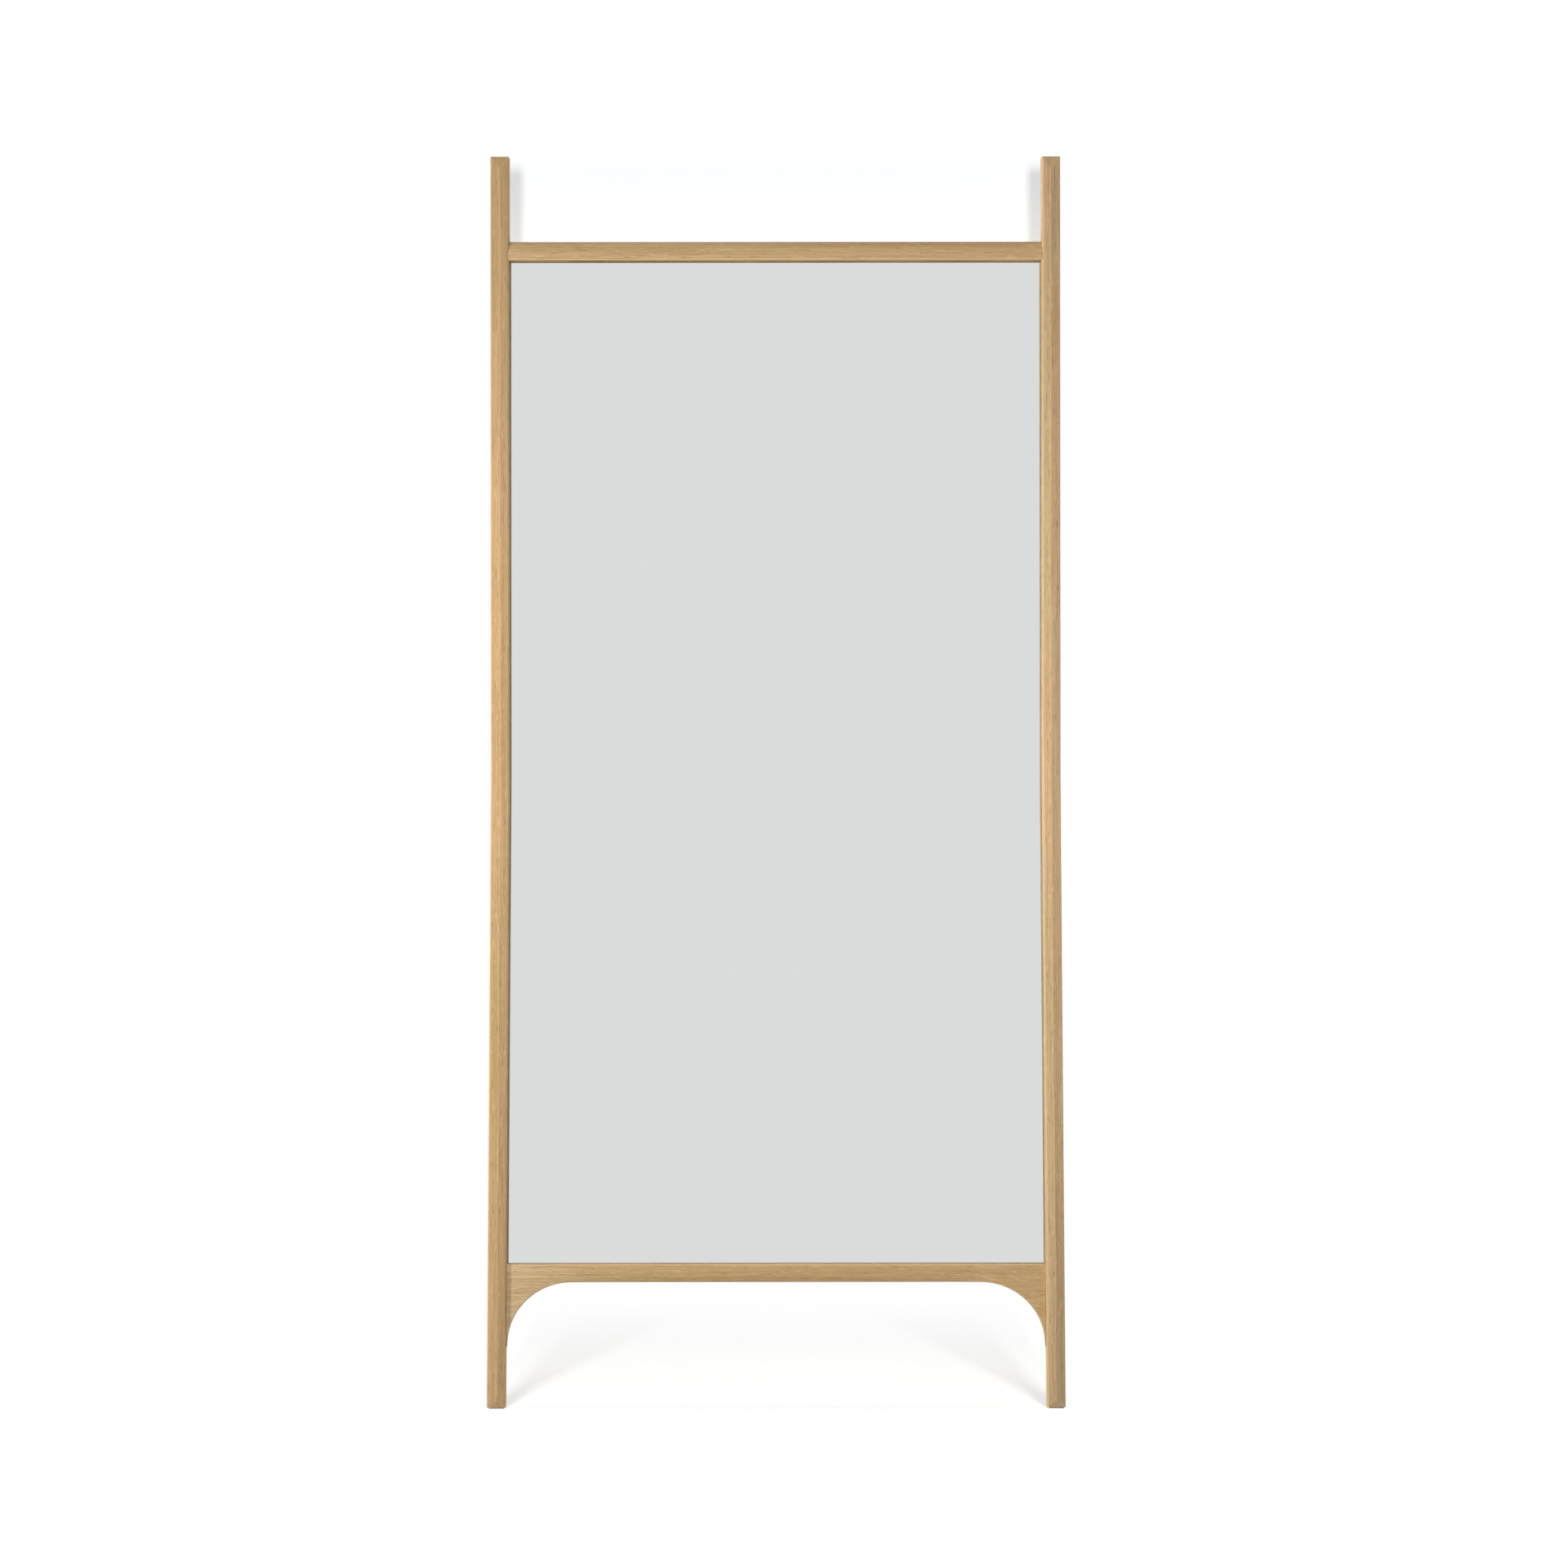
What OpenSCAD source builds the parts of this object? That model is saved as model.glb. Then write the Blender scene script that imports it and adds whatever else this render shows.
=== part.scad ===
// Leaning floor mirror: an oak frame on two feet, with a rebated glass, a back panel
// held by turn buttons, and a folding wall hinge behind each horn.
// Millimetres. X is across the mirror, Y runs from the front (-) to the back (+), Z is up.
// The origin is on the floor, at the middle of the width and of the depth.

/* [Overall] */
// Height from the floor to the tops of the stiles
frame_h = 1900; // [1500:10:2200]
// Width across the stiles above the knee
frame_w = 864.6; // [600:0.2:1100]
// Depth from the ridge of the stiles to the face of the wall pads
frame_d = 40; // [34:0.5:56]

/* [Stiles] */
// Width of each stile, seen from the front
stile_w = 28.5; // [24:0.5:45]
// How far the ridge stands in front of the stile's edges
ridge_rise = 3; // [1:0.25:5]
// Radius that softens the ridge
ridge_r = 5; // [2:0.5:8]
// Radius of the inner front edge
inner_r = 6; // [3:0.5:8]
// Radius of the outer front edge
outer_r = 2; // [1:0.25:4]
// Radius of the two back edges
back_r = 1.5; // [0.5:0.25:3]
// Height above the floor at which each stile starts to splay
knee_z = 950; // [500:10:1300]
// How far each foot stands out past the stile above it
foot_splay = 7; // [1:0.5:30]
// Length of the sloped facet at the top of each stile
top_hip = 18; // [8:1:30]
// Length of the sloped facet at the bottom of each stile
foot_hip = 12; // [6:1:30]

/* [Top rail] */
// Distance from the tops of the stiles down to the rail
horn_h = 129; // [60:1:250]
// Height of the top rail
top_rail_h = 28; // [24:0.5:50]
// How far the rail's crown lies behind the ridge of the stiles
crown_set = 1.5; // [0.5:0.25:6]
// How far the rail laps onto the rounded inner edge of each stile
cope_l = 5; // [0:0.5:8]
// Radius of the crowned front
crown_r = 40; // [32:1:80]
// Height of the crown's foremost line above the rail's bottom edge
crown_z = 8; // [5:0.5:14]
// Radius of the top front edge of the crown
crown_top_r = 3.5; // [1:0.5:5]
// Radius of the lower front edge of the crown
crown_low_r = 2.5; // [1:0.5:4]

/* [Bottom rail] */
// Height of the bottom rail's top edge above the floor
base_rail_top = 219.5; // [180:0.5:400]
// Height of the bottom rail between its haunches
base_rail_h = 28; // [24:0.5:60]
// Radius of the arch under each haunch
haunch_r = 98; // [60:1:130]
// Thickness of the haunch where it runs out on the stile
haunch_tip = 1.2; // [0.8:0.1:4]
// How far the bottom rail's front lies behind the ridge of the stiles
base_rail_set = 9; // [5:0.5:11]

/* [Glass and back] */
// Thickness of the mirror glass
glass_t = 4; // [3:0.5:6]
// How far the glass lies behind the ridge of the stiles
glass_set = 15; // [13:0.5:18]
// How far the frame laps over the edge of the glass
glass_lap = 10; // [6:0.5:11]
// Gap around the edge of the glass and of the back panel
edge_gap = 1.6; // [0.5:0.1:3]
// Thickness of the safety film on the back of the glass
film_t = 0.4; // [0.2:0.1:0.8]
// Thickness of the foam tape between the film and the back panel
tape_t = 1; // [0.6:0.2:2]
// Width of each strip of foam tape
tape_w = 24; // [12:1:40]
// Number of strips of foam tape
tape_count = 5; // [2:1:8]
// Distance from the ends of the foam tape to the edges of the back panel
tape_inset = 30; // [5:5:100]
// Thickness of the back panel
panel_t = 5; // [3:0.5:6]
// Width of the ledge that the turn buttons are screwed to
ledge_w = 9; // [8:0.5:10]
// Height of the rubber blocks under the glass
block_h = 3; // [2:0.5:5]
// Length of each rubber block
block_l = 60; // [30:5:100]

/* [Dowels] */
// Diameter of the dowels in the top rail
top_dowel_d = 6; // [4:1:6]
// Diameter of the dowels in the bottom rail
base_dowel_d = 8; // [6:1:10]
// Depth of the dowel holes in the stiles
dowel_in_stile = 15; // [10:1:18]
// Depth of the dowel holes in the rails
dowel_in_rail = 20; // [15:1:30]
// Space left for glue at each end of a dowel
glue_gap = 1; // [0.5:0.25:2]
// Distance from the bottom rail's top edge to its upper dowel
base_dowel_drop = 20; // [16:1:30]
// Distance between the two dowels at each end of the bottom rail
base_dowel_pitch = 32; // [16:1:36]
// Least wood left beside the dowels in the top rail
dowel_cover = 1.8; // [1:0.2:2.4]

/* [Turn buttons] */
// Number of turn buttons on each stile
buttons_per_stile = 3; // [2:1:4]
// Distance from a turn button's pivot to its tip
button_reach = 20; // [14:1:26]
// Width of a turn button
button_w = 7.6; // [6.4:0.2:7.8]
// Thickness of a turn button
button_t = 2; // [1.5:0.25:3]
// Diameter of the pivot screw's shank
pivot_d = 4; // [3:0.5:5]
// Radial clearance of a turn button on its pivot screw
pivot_fit = 0.05; // [0.02:0.01:0.1]
// Gap between a turn button and the faces on either side of it
button_gap = 0.2; // [0.1:0.05:0.5]
// Depth of the pivot screws in the wood
pivot_depth = 12; // [8:1:14]
// Height of a pivot screw's head
pivot_head_h = 2.2; // [1.8:0.1:3]
// Diameter of a pivot screw's head
pivot_head_d = 7.2; // [6:0.1:7.8]

/* [Wall hinges] */
// Width of the hinge leaves
leaf_w = 20; // [16:0.5:24]
// Height of the frame leaf above the hinge pin
frame_leaf_h = 34; // [28:1:50]
// Length of the wall leaf below the hinge pin
wall_leaf_h = 40; // [30:1:60]
// Thickness of the hinge leaves
leaf_t = 1.5; // [1.2:0.1:1.6]
// Height of the hinge pin above the top edge of the top rail
hinge_rise = 46; // [10:1:60]
// Outer diameter of the knuckles
knuckle_d = 4; // [3.4:0.1:4]
// Diameter of the hinge pin
pin_d = 2; // [1.6:0.1:2.2]
// Radial clearance of the wall leaf on the hinge pin
pin_fit = 0.05; // [0.02:0.01:0.1]
// Gap between neighbouring knuckles, and between the wall leaf and the stile
leaf_gap = 0.3; // [0.2:0.05:0.5]
// Diameter of the wall screw holes
wall_hole_d = 4.5; // [3.5:0.1:5]
// Distance between the two wall screw holes
wall_hole_pitch = 16; // [12:1:20]
// Diameter of the shank of the hinge screws
hinge_screw_d = 3.5; // [3:0.1:4]
// Diameter of the countersunk heads of the hinge screws
hinge_head_d = 6.6; // [6:0.1:7.5]
// Length of the hinge screws
hinge_screw_l = 18; // [12:1:24]
// Distance between the two hinge screws
hinge_screw_pitch = 16; // [12:1:22]

/* [Pads and glides] */
// Thickness of the wall pads
pad_t = 4; // [4:0.1:8]
// Diameter of the wall pads
pad_d = 18; // [12:1:24]
// Distance from the top of a stile to the middle of its wall pad
pad_drop = 24; // [16:1:40]
// Thickness of the foot glides
glide_t = 2; // [1:0.5:4]
// How far a foot glide's edge lies inside the edge of the foot
glide_inset = 2.5; // [1:0.5:5]

/* [Hidden] */
$fn = 64;
cut = 1; // how far a cutting solid runs past the face that it cuts
arc_steps = 6; // straight steps in a quarter of a rounded edge
crown_steps = 12; // straight steps across the crown of the top rail
corner_r = 3; // radius of the corners of the hinge leaves and glides
recess_l = 4; // length of each arm of the cross in a screw head
recess_w = 0.8; // width of the cross in a screw head
recess_h = 0.9; // depth of the cross in a screw head
screw_tip_l = 4; // length of a screw's pointed end
screw_tip_r = 0.5; // radius that a screw's point ends in
pad_bevel = 1; // bevel around the face of a wall pad

SIDES = ["left", "right"];
ENDS = ["top", "bottom"];

// Faces and lines, from the front to the back
y_ridge = -frame_d / 2;
y_pad = frame_d / 2;
y_back = y_pad - pad_t;
y_glass = y_ridge + glass_set;
y_film = y_glass + glass_t;
y_tape = y_film + film_t;
y_panel = y_tape + tape_t;
y_ledge = y_panel + panel_t;
y_dowel = (y_glass + y_ledge) / 2;
y_button = y_ledge + button_gap;
y_hinge = y_back + knuckle_d / 2;

// Stiles
x_out = frame_w / 2;
x_in = x_out - stile_w;
x_mid = x_out - stile_w / 2;
splay = atan(foot_splay / knee_z);
facet = atan(2 * ridge_rise / stile_w);
y_apex = y_ridge - ridge_r * (1 / cos(facet) - 1);
function inner_x(z) = x_in + max(knee_z - z, 0) * tan(splay);

// Rails, and the rebate that runs round the opening
z_top = frame_h - horn_h;
z_head = z_top - top_rail_h;
z_sill = base_rail_top;
z_arch = z_sill - base_rail_h;
z_tip = z_arch - haunch_r;
x_rebate = x_in + glass_lap;
z_rebate = [z_sill - glass_lap, z_head + glass_lap];
x_ledge = x_rebate + ledge_w;
z_ledge = [z_rebate[0] - ledge_w, z_rebate[1] + ledge_w];

// Heights of the dowels at each end of a rail, and where that rail meets the stile
top_dowel_z = [
    z_rebate[1] + dowel_cover + top_dowel_d / 2,
    z_top - dowel_cover - top_dowel_d / 2
];
bottom_dowel_z = [z_sill - base_dowel_drop, z_sill - base_dowel_drop - base_dowel_pitch];
function dowel_zs(end) = end == "top" ? top_dowel_z : bottom_dowel_z;
function dowel_d(end) = end == "top" ? top_dowel_d : base_dowel_d;

// Turn buttons: [x, z, turn about Y that points the button over the panel]
x_pivot = x_rebate + ledge_w / 2;
button_step = (z_rebate[1] - z_rebate[0]) / buttons_per_stile;
BUTTONS = concat(
    [for (i = [0 : buttons_per_stile - 1]) [-x_pivot, z_rebate[0] + (i + 0.5) * button_step, 0]],
    [for (i = [0 : buttons_per_stile - 1]) [x_pivot, z_rebate[0] + (i + 0.5) * button_step, 180]],
    [[0, z_rebate[1] + ledge_w / 2, 90], [0, z_rebate[0] - ledge_w / 2, -90]]
);

// Wall hinges
z_hinge = z_top + hinge_rise;
knuckle_w = leaf_w / 3;
frame_screw_z = z_hinge + frame_leaf_h / 2 + knuckle_d / 4;
wall_hole_z = z_hinge - wall_leaf_h / 2 - knuckle_d / 4;
function pair(middle, pitch) = [middle - pitch / 2, middle + pitch / 2];

// Points of an arc about [x, y], from angle a to angle b
function arc(x, y, r, a, b, steps) =
    [for (i = [0 : steps]) let (t = a + (b - a) * i / steps) [x + r * cos(t), y + r * sin(t)]];

// Height of the front of the stile's facets at a distance u from the outer edge
function facet_y(u) = y_apex + abs(u - stile_w / 2) * tan(facet);

// Outline of the right stile, measured inwards from its outer edge, as [u, y] points
function stile_outline() = concat(
    arc(outer_r, facet_y(outer_r) + outer_r / cos(facet), outer_r, 180, 270 - facet, arc_steps),
    arc(stile_w / 2, y_ridge + ridge_r, ridge_r, 270 - facet, 270 + facet, 2),
    arc(stile_w - inner_r, facet_y(stile_w - inner_r) + inner_r / cos(facet), inner_r,
        270 + facet, 360, arc_steps),
    arc(stile_w - back_r, y_back - back_r, back_r, 0, 90, arc_steps),
    arc(back_r, y_back - back_r, back_r, 90, 180, arc_steps)
);

// The same outline as a ring of points round the right stile at height z
function stile_ring(z) = [for (p = stile_outline()) [inner_x(z) + stile_w - p[0], p[1], z]];

// Outline of the crowned front and square back of the top rail, as [y, z] points
function crown_y(z) = y_ridge + crown_set + crown_r - sqrt(pow(crown_r, 2) - pow(z - crown_z, 2));
function crown_edge(z, r, from, to) = arc(crown_y(z) + r, z, r, from, to, arc_steps);
function top_rail_outline() = concat(
    crown_edge(crown_low_r, crown_low_r, 270, 180),
    [for (i = [1 : crown_steps - 1])
        let (z = crown_low_r + (top_rail_h - crown_top_r - crown_low_r) * i / crown_steps)
        [crown_y(z), z]],
    crown_edge(top_rail_h - crown_top_r, crown_top_r, 180, 90),
    [[y_back, top_rail_h], [y_back, 0]]
);

// Puts a right-hand piece on the side that is named
module on_side(side) {
    if (side == "left") mirror([1, 0, 0]) children();
    else children();
}

// A plate of w by h with rounded corners, from the origin upwards and centred across
module round_plate(w, h, r) {
    translate([-w / 2 + r, 0]) square([w - 2 * r, h]);
    translate([-w / 2, r]) square([w, h - 2 * r]);
    for (x = [-w / 2 + r, w / 2 - r]) for (y = [r, h - r]) translate([x, y]) circle(r);
}

// Stands a flat shape up in the XZ plane, with its back at y = 0 and its thickness towards -Y
module stand(t) {
    rotate([90, 0, 0]) linear_extrude(t) children();
}

// A cylinder along X from x, centred on [y, z]
module bar_x(x, y, z, d, l) {
    translate([x, y, z]) rotate([0, 90, 0]) cylinder(d = d, h = l);
}

// A cylinder along +Y from y, centred on [x, z]; d2 is its diameter at the far end
module bar_y(x, y, z, d, l, d2) {
    translate([x, y, z]) rotate([-90, 0, 0]) cylinder(d1 = d, d2 = is_undef(d2) ? d : d2, h = l);
}

// The whole right stile before it is rebated and drilled: flat faces between three rings
module stile_blank() {
    n = len(stile_outline());
    polyhedron(
        points = [for (z = [glide_t, knee_z, frame_h]) each stile_ring(z)],
        faces = concat(
            [[for (i = [1 : n]) n - i], [for (i = [0 : n - 1]) 2 * n + i]],
            [for (k = [0, n]) for (i = [0 : n - 1])
                [k + i, k + (i + 1) % n, k + n + (i + 1) % n, k + n + i]]
        )
    );
}

// The part of the right stile that the top rail's end is shaped to
module stile_at_top_rail() {
    translate([x_out, 0, z_head - cut]) linear_extrude(top_rail_h + 2 * cut)
        polygon([for (p = stile_outline()) [-p[0], p[1]]]);
}

// Cuts the sloped facets off the front of both ends of a stile
module hip_cuts() {
    for (e = [[frame_h - top_hip, top_hip, -1], [glide_t + foot_hip, foot_hip, 1]])
        translate([0, y_ridge, e[0]]) rotate([e[2] * atan(ridge_rise / e[1]), 0, 0])
            translate([0, -ridge_rise - cut, e[2] < 0 ? -cut : -2 * e[1]])
            cube([frame_w, ridge_rise + cut, 2 * e[1] + cut]);
}

// The stepped rebate: the glass and the panel lie in its front step, the buttons on its ledge
module rebate() {
    translate([-x_rebate, y_glass, z_rebate[0]])
        cube([2 * x_rebate, y_back - y_glass + cut, z_rebate[1] - z_rebate[0]]);
    translate([-x_ledge, y_ledge, z_ledge[0]])
        cube([2 * x_ledge, y_back - y_ledge + cut, z_ledge[1] - z_ledge[0]]);
}

// The dowels at one end of a rail, or their holes when gap is 0
module dowels(end, gap) {
    for (z = dowel_zs(end))
        bar_x(inner_x(z) - dowel_in_rail + gap, y_dowel, z, dowel_d(end),
            dowel_in_rail + dowel_in_stile - 2 * gap);
}

// Holes for the pivot screws of all the turn buttons
module pivot_holes() {
    for (b = BUTTONS) bar_y(b[0], y_ledge - pivot_depth, b[1], pivot_d, pivot_depth + cut);
}

// Holes for the screws of the right-hand hinge
module hinge_screw_holes() {
    for (z = pair(frame_screw_z, hinge_screw_pitch))
        bar_y(x_mid, y_back - hinge_screw_l + leaf_t, z, hinge_screw_d, hinge_screw_l);
}

module stile() {
    color("burlywood") difference() {
        stile_blank();
        hip_cuts();
        rebate();
        for (e = ENDS) dowels(e, 0);
        pivot_holes();
        hinge_screw_holes();
    }
}

module top_rail() {
    rail_l = x_in + cope_l;
    color("tan") difference() {
        translate([-rail_l, 0, z_head]) rotate([90, 0, 90])
            linear_extrude(2 * rail_l) polygon(top_rail_outline());
        for (s = SIDES) on_side(s) {
            stile_at_top_rail();
            dowels("top", 0);
        }
        rebate();
        pivot_holes();
    }
}

// The bottom rail and its haunches, as a flat outline that fits between the stiles
module bottom_rail_outline() {
    x_arch = inner_x(z_tip) - haunch_tip - haunch_r;
    difference() {
        polygon([
            [-inner_x(z_sill), z_sill], [inner_x(z_sill), z_sill],
            [inner_x(z_tip), z_tip], [-inner_x(z_tip), z_tip]
        ]);
        translate([-x_arch, z_tip - cut]) square([2 * x_arch, haunch_r + cut]);
        for (x = [-x_arch, x_arch]) translate([x, z_tip]) circle(haunch_r);
    }
}

module bottom_rail() {
    color("burlywood") difference() {
        translate([0, y_back, 0]) stand(y_back - y_ridge - base_rail_set) bottom_rail_outline();
        rebate();
        for (s = SIDES) on_side(s) dowels("bottom", 0);
        pivot_holes();
    }
}

// A flat sheet in the rebate, from y, with its bottom edge at z
module sheet(y, t, z) {
    x = x_rebate - edge_gap;
    translate([-x, y, z]) cube([2 * x, t, z_rebate[1] - edge_gap - z]);
}

module mirror_glass() {
    color("gainsboro") sheet(y_glass, glass_t, z_rebate[0] + block_h);
}

module safety_film() {
    color("slategray") sheet(y_film, film_t, z_rebate[0] + block_h);
}

module foam_tapes() {
    span = 2 * (x_rebate - edge_gap - tape_inset) - tape_w;
    z_low = z_rebate[0] + edge_gap + tape_inset;
    color("dimgray") for (i = [0 : tape_count - 1])
        translate([-span / 2 - tape_w / 2 + span * i / (tape_count - 1), y_tape, z_low])
            cube([tape_w, tape_t, z_rebate[1] - edge_gap - tape_inset - z_low]);
}

module back_panel() {
    color("peru") sheet(y_panel, panel_t, z_rebate[0] + edge_gap);
}

module setting_blocks() {
    color("black") for (x = [-x_in / 2, x_in / 2])
        translate([x - block_l / 2, y_glass, z_rebate[0]]) cube([block_l, glass_t, block_h]);
}

module turn_button(b) {
    color("goldenrod") translate([b[0], y_button + button_t, b[1]]) rotate([0, b[2], 0])
        stand(button_t) difference() {
            union() {
                circle(d = button_w);
                translate([0, -button_w / 2]) square([button_reach - button_w / 2, button_w]);
                translate([button_reach - button_w / 2, 0]) circle(d = button_w);
            }
            circle(d = pivot_d + 2 * pivot_fit);
        }
}

// The cross in a screw head whose face is at y
module cross_recess(x, y, z) {
    for (a = [45, 135])
        translate([x, y, z]) rotate([0, a, 0]) translate([-recess_l / 2, -recess_h, -recess_w / 2])
            cube([recess_l, recess_h + cut, recess_w]);
}

module pivot_screws() {
    y_head = y_button + button_t + button_gap;
    color("silver") for (b = BUTTONS) difference() {
        union() {
            bar_y(b[0], y_ledge - pivot_depth + screw_tip_l, b[1], pivot_d,
                pivot_depth - screw_tip_l + y_head - y_ledge);
            bar_y(b[0], y_ledge - pivot_depth, b[1], 2 * screw_tip_r, screw_tip_l, pivot_d);
            bar_y(b[0], y_head, b[1], pivot_head_d, pivot_head_h);
        }
        cross_recess(b[0], y_head + pivot_head_h, b[1]);
    }
}

module hinge_screws() {
    y_tip = y_back + leaf_t - hinge_screw_l;
    color("silver") for (s = SIDES) on_side(s) for (z = pair(frame_screw_z, hinge_screw_pitch))
        difference() {
            union() {
                bar_y(x_mid, y_tip, z, 2 * screw_tip_r, screw_tip_l, hinge_screw_d);
                bar_y(x_mid, y_tip + screw_tip_l, z, hinge_screw_d, y_back - y_tip - screw_tip_l);
                bar_y(x_mid, y_back, z, hinge_screw_d, leaf_t, hinge_head_d);
            }
            cross_recess(x_mid, y_back + leaf_t, z);
        }
}

module frame_leaf() {
    color("lightsteelblue") difference() {
        union() {
            translate([x_mid, y_back + leaf_t, z_hinge]) stand(leaf_t) difference() {
                round_plate(leaf_w, frame_leaf_h, corner_r);
                square([knuckle_w + 2 * leaf_gap, knuckle_d + 2 * leaf_gap], center = true);
            }
            for (x = [x_mid - leaf_w / 2, x_mid + knuckle_w / 2 + leaf_gap])
                bar_x(x, y_hinge, z_hinge, knuckle_d, knuckle_w - leaf_gap);
            for (x = [x_mid - leaf_w / 2, x_mid + knuckle_w / 2 + leaf_gap])
                translate([x, y_back, z_hinge]) cube([knuckle_w - leaf_gap, leaf_t, corner_r]);
        }
        bar_x(x_mid - leaf_w, y_hinge, z_hinge, pin_d, 2 * leaf_w);
        for (z = pair(frame_screw_z, hinge_screw_pitch))
            bar_y(x_mid, y_back, z, hinge_screw_d, leaf_t, hinge_head_d);
    }
}

module wall_leaf() {
    y_leaf = y_back + leaf_gap;
    color("lightsteelblue") difference() {
        union() {
            translate([x_mid, y_leaf + leaf_t, z_hinge - wall_leaf_h]) stand(leaf_t)
                round_plate(leaf_w, wall_leaf_h - knuckle_d / 2 - leaf_gap, corner_r);
            translate([x_mid - knuckle_w / 2, y_leaf, z_hinge - knuckle_d])
                cube([knuckle_w, leaf_t, knuckle_d]);
            bar_x(x_mid - knuckle_w / 2, y_hinge, z_hinge, knuckle_d, knuckle_w);
        }
        bar_x(x_mid - leaf_w, y_hinge, z_hinge, pin_d + 2 * pin_fit, 2 * leaf_w);
        for (z = pair(wall_hole_z, wall_hole_pitch))
            bar_y(x_mid, y_back, z, wall_hole_d, knuckle_d);
    }
}

module hinge_pin() {
    color("silver") bar_x(x_mid - leaf_w / 2, y_hinge, z_hinge, pin_d, leaf_w);
}

module wall_pad() {
    z = frame_h - pad_drop;
    color("black") {
        bar_y(x_mid, y_back, z, pad_d, pad_t - pad_bevel);
        bar_y(x_mid, y_pad - pad_bevel, z, pad_d, pad_bevel, pad_d - 2 * pad_bevel);
    }
}

module foot_glide() {
    y_front = y_ridge + ridge_rise + glide_inset;
    x_foot = inner_x(glide_t) + stile_w / 2;
    color("saddlebrown") translate([x_foot, y_front, 0]) linear_extrude(glide_t)
        round_plate(stile_w - 2 * glide_inset, y_back - glide_inset - y_front, corner_r);
}

for (s = SIDES) on_side(s) stile();
top_rail();
bottom_rail();
mirror_glass();
safety_film();
foam_tapes();
back_panel();
setting_blocks();
for (e = ENDS) for (s = SIDES)
    color("wheat") on_side(s) dowels(e, glue_gap);
for (i = [0 : len(BUTTONS) - 1])
    turn_button(BUTTONS[i]);
pivot_screws();
for (s = SIDES) on_side(s) frame_leaf();
for (s = SIDES) on_side(s) wall_leaf();
for (s = SIDES) on_side(s) hinge_pin();
hinge_screws();
for (s = SIDES) on_side(s) wall_pad();
for (s = SIDES) on_side(s) foot_glide();
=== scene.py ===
"""Leaning floor mirror in pale oak: its looks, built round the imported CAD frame.

The two uprights and the top rail are swept by Geometry Nodes, the board with the haunches is
drawn ray by ray, and the ironware is eased from the CAD's own shapes. Lengths are in metres.
"""

import logging
import math
from dataclasses import asdict, dataclass, fields
from enum import Enum
from typing import Callable, Optional, Sequence, Union

import bmesh
import bpy
from mathutils import Matrix, Vector


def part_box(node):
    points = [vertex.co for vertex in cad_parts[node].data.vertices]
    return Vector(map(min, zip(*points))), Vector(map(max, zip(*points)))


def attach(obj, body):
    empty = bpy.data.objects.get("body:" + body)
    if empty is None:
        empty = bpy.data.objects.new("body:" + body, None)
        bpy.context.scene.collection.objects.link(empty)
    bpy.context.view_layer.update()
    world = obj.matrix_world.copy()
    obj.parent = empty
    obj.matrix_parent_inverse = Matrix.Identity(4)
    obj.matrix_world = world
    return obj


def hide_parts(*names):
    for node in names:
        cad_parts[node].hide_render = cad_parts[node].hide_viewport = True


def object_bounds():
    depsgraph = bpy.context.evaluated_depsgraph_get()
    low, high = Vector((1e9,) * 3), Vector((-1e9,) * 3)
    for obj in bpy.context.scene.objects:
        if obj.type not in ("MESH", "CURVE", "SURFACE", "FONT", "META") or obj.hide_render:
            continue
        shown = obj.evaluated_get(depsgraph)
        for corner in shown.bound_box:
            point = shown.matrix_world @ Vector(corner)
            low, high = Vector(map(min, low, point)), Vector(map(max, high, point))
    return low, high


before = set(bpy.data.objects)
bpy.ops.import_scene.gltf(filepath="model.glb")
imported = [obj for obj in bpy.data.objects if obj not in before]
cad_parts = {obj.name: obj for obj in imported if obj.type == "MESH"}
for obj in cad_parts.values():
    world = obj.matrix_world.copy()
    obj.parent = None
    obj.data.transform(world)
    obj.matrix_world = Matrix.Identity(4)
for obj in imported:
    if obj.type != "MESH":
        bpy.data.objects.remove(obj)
CAD_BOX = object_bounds()
LOG = logging.getLogger("floor_mirror")

Colour = tuple[float, float, float, float]
Point = tuple[float, float, float]
WELD = 1e-6
NEAR_FLAT = 0.01
# how sharp a bend pales an edge fully: wear, and on the oak ridge a painted highlight
FULL_WEAR_AND_HIGHLIGHT_BEND = 420.0
SHORT_REACH = 0.0002
SIDE_STEP = 0.0018
ARC_STEPS = 5
HIP_STEP = 0.0012
HIP_MARGIN = 1.3
HALF_TURN = math.pi
QUARTER_TURN = math.pi / 2


def colour(red: int, green: int, blue: int) -> Colour:
    """Turns screen values from 0 to 255 into the linear colour that shaders use.

    Args:
        red: the first channel, from 0 to 255.
        green: the second channel.
        blue: the third channel.

    Returns:
        The colour, opaque.
    """

    def linear(value: int) -> float:
        """One channel's linear value."""
        part = value / 255
        return part / 12.92 if part <= 0.04045 else ((part + 0.055) / 1.055) ** 2.4

    return linear(red), linear(green), linear(blue), 1.0


# ---------------------------------------------------------------- node trees written as Python


def operator(operation: str, swapped: bool = False) -> Callable[["Socket", "Value"], "Socket"]:
    """Makes a Python operator that adds a Math node.

    Args:
        operation: the Math node's operation.
        swapped: whether it is a reflected form, with the socket on the right.

    Returns:
        The operator's method.
    """

    def apply(self: "Socket", other: "Value") -> "Socket":
        """Adds the node."""
        return self.math(operation, other, self) if swapped else self.math(operation, self, other)

    return apply


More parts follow.
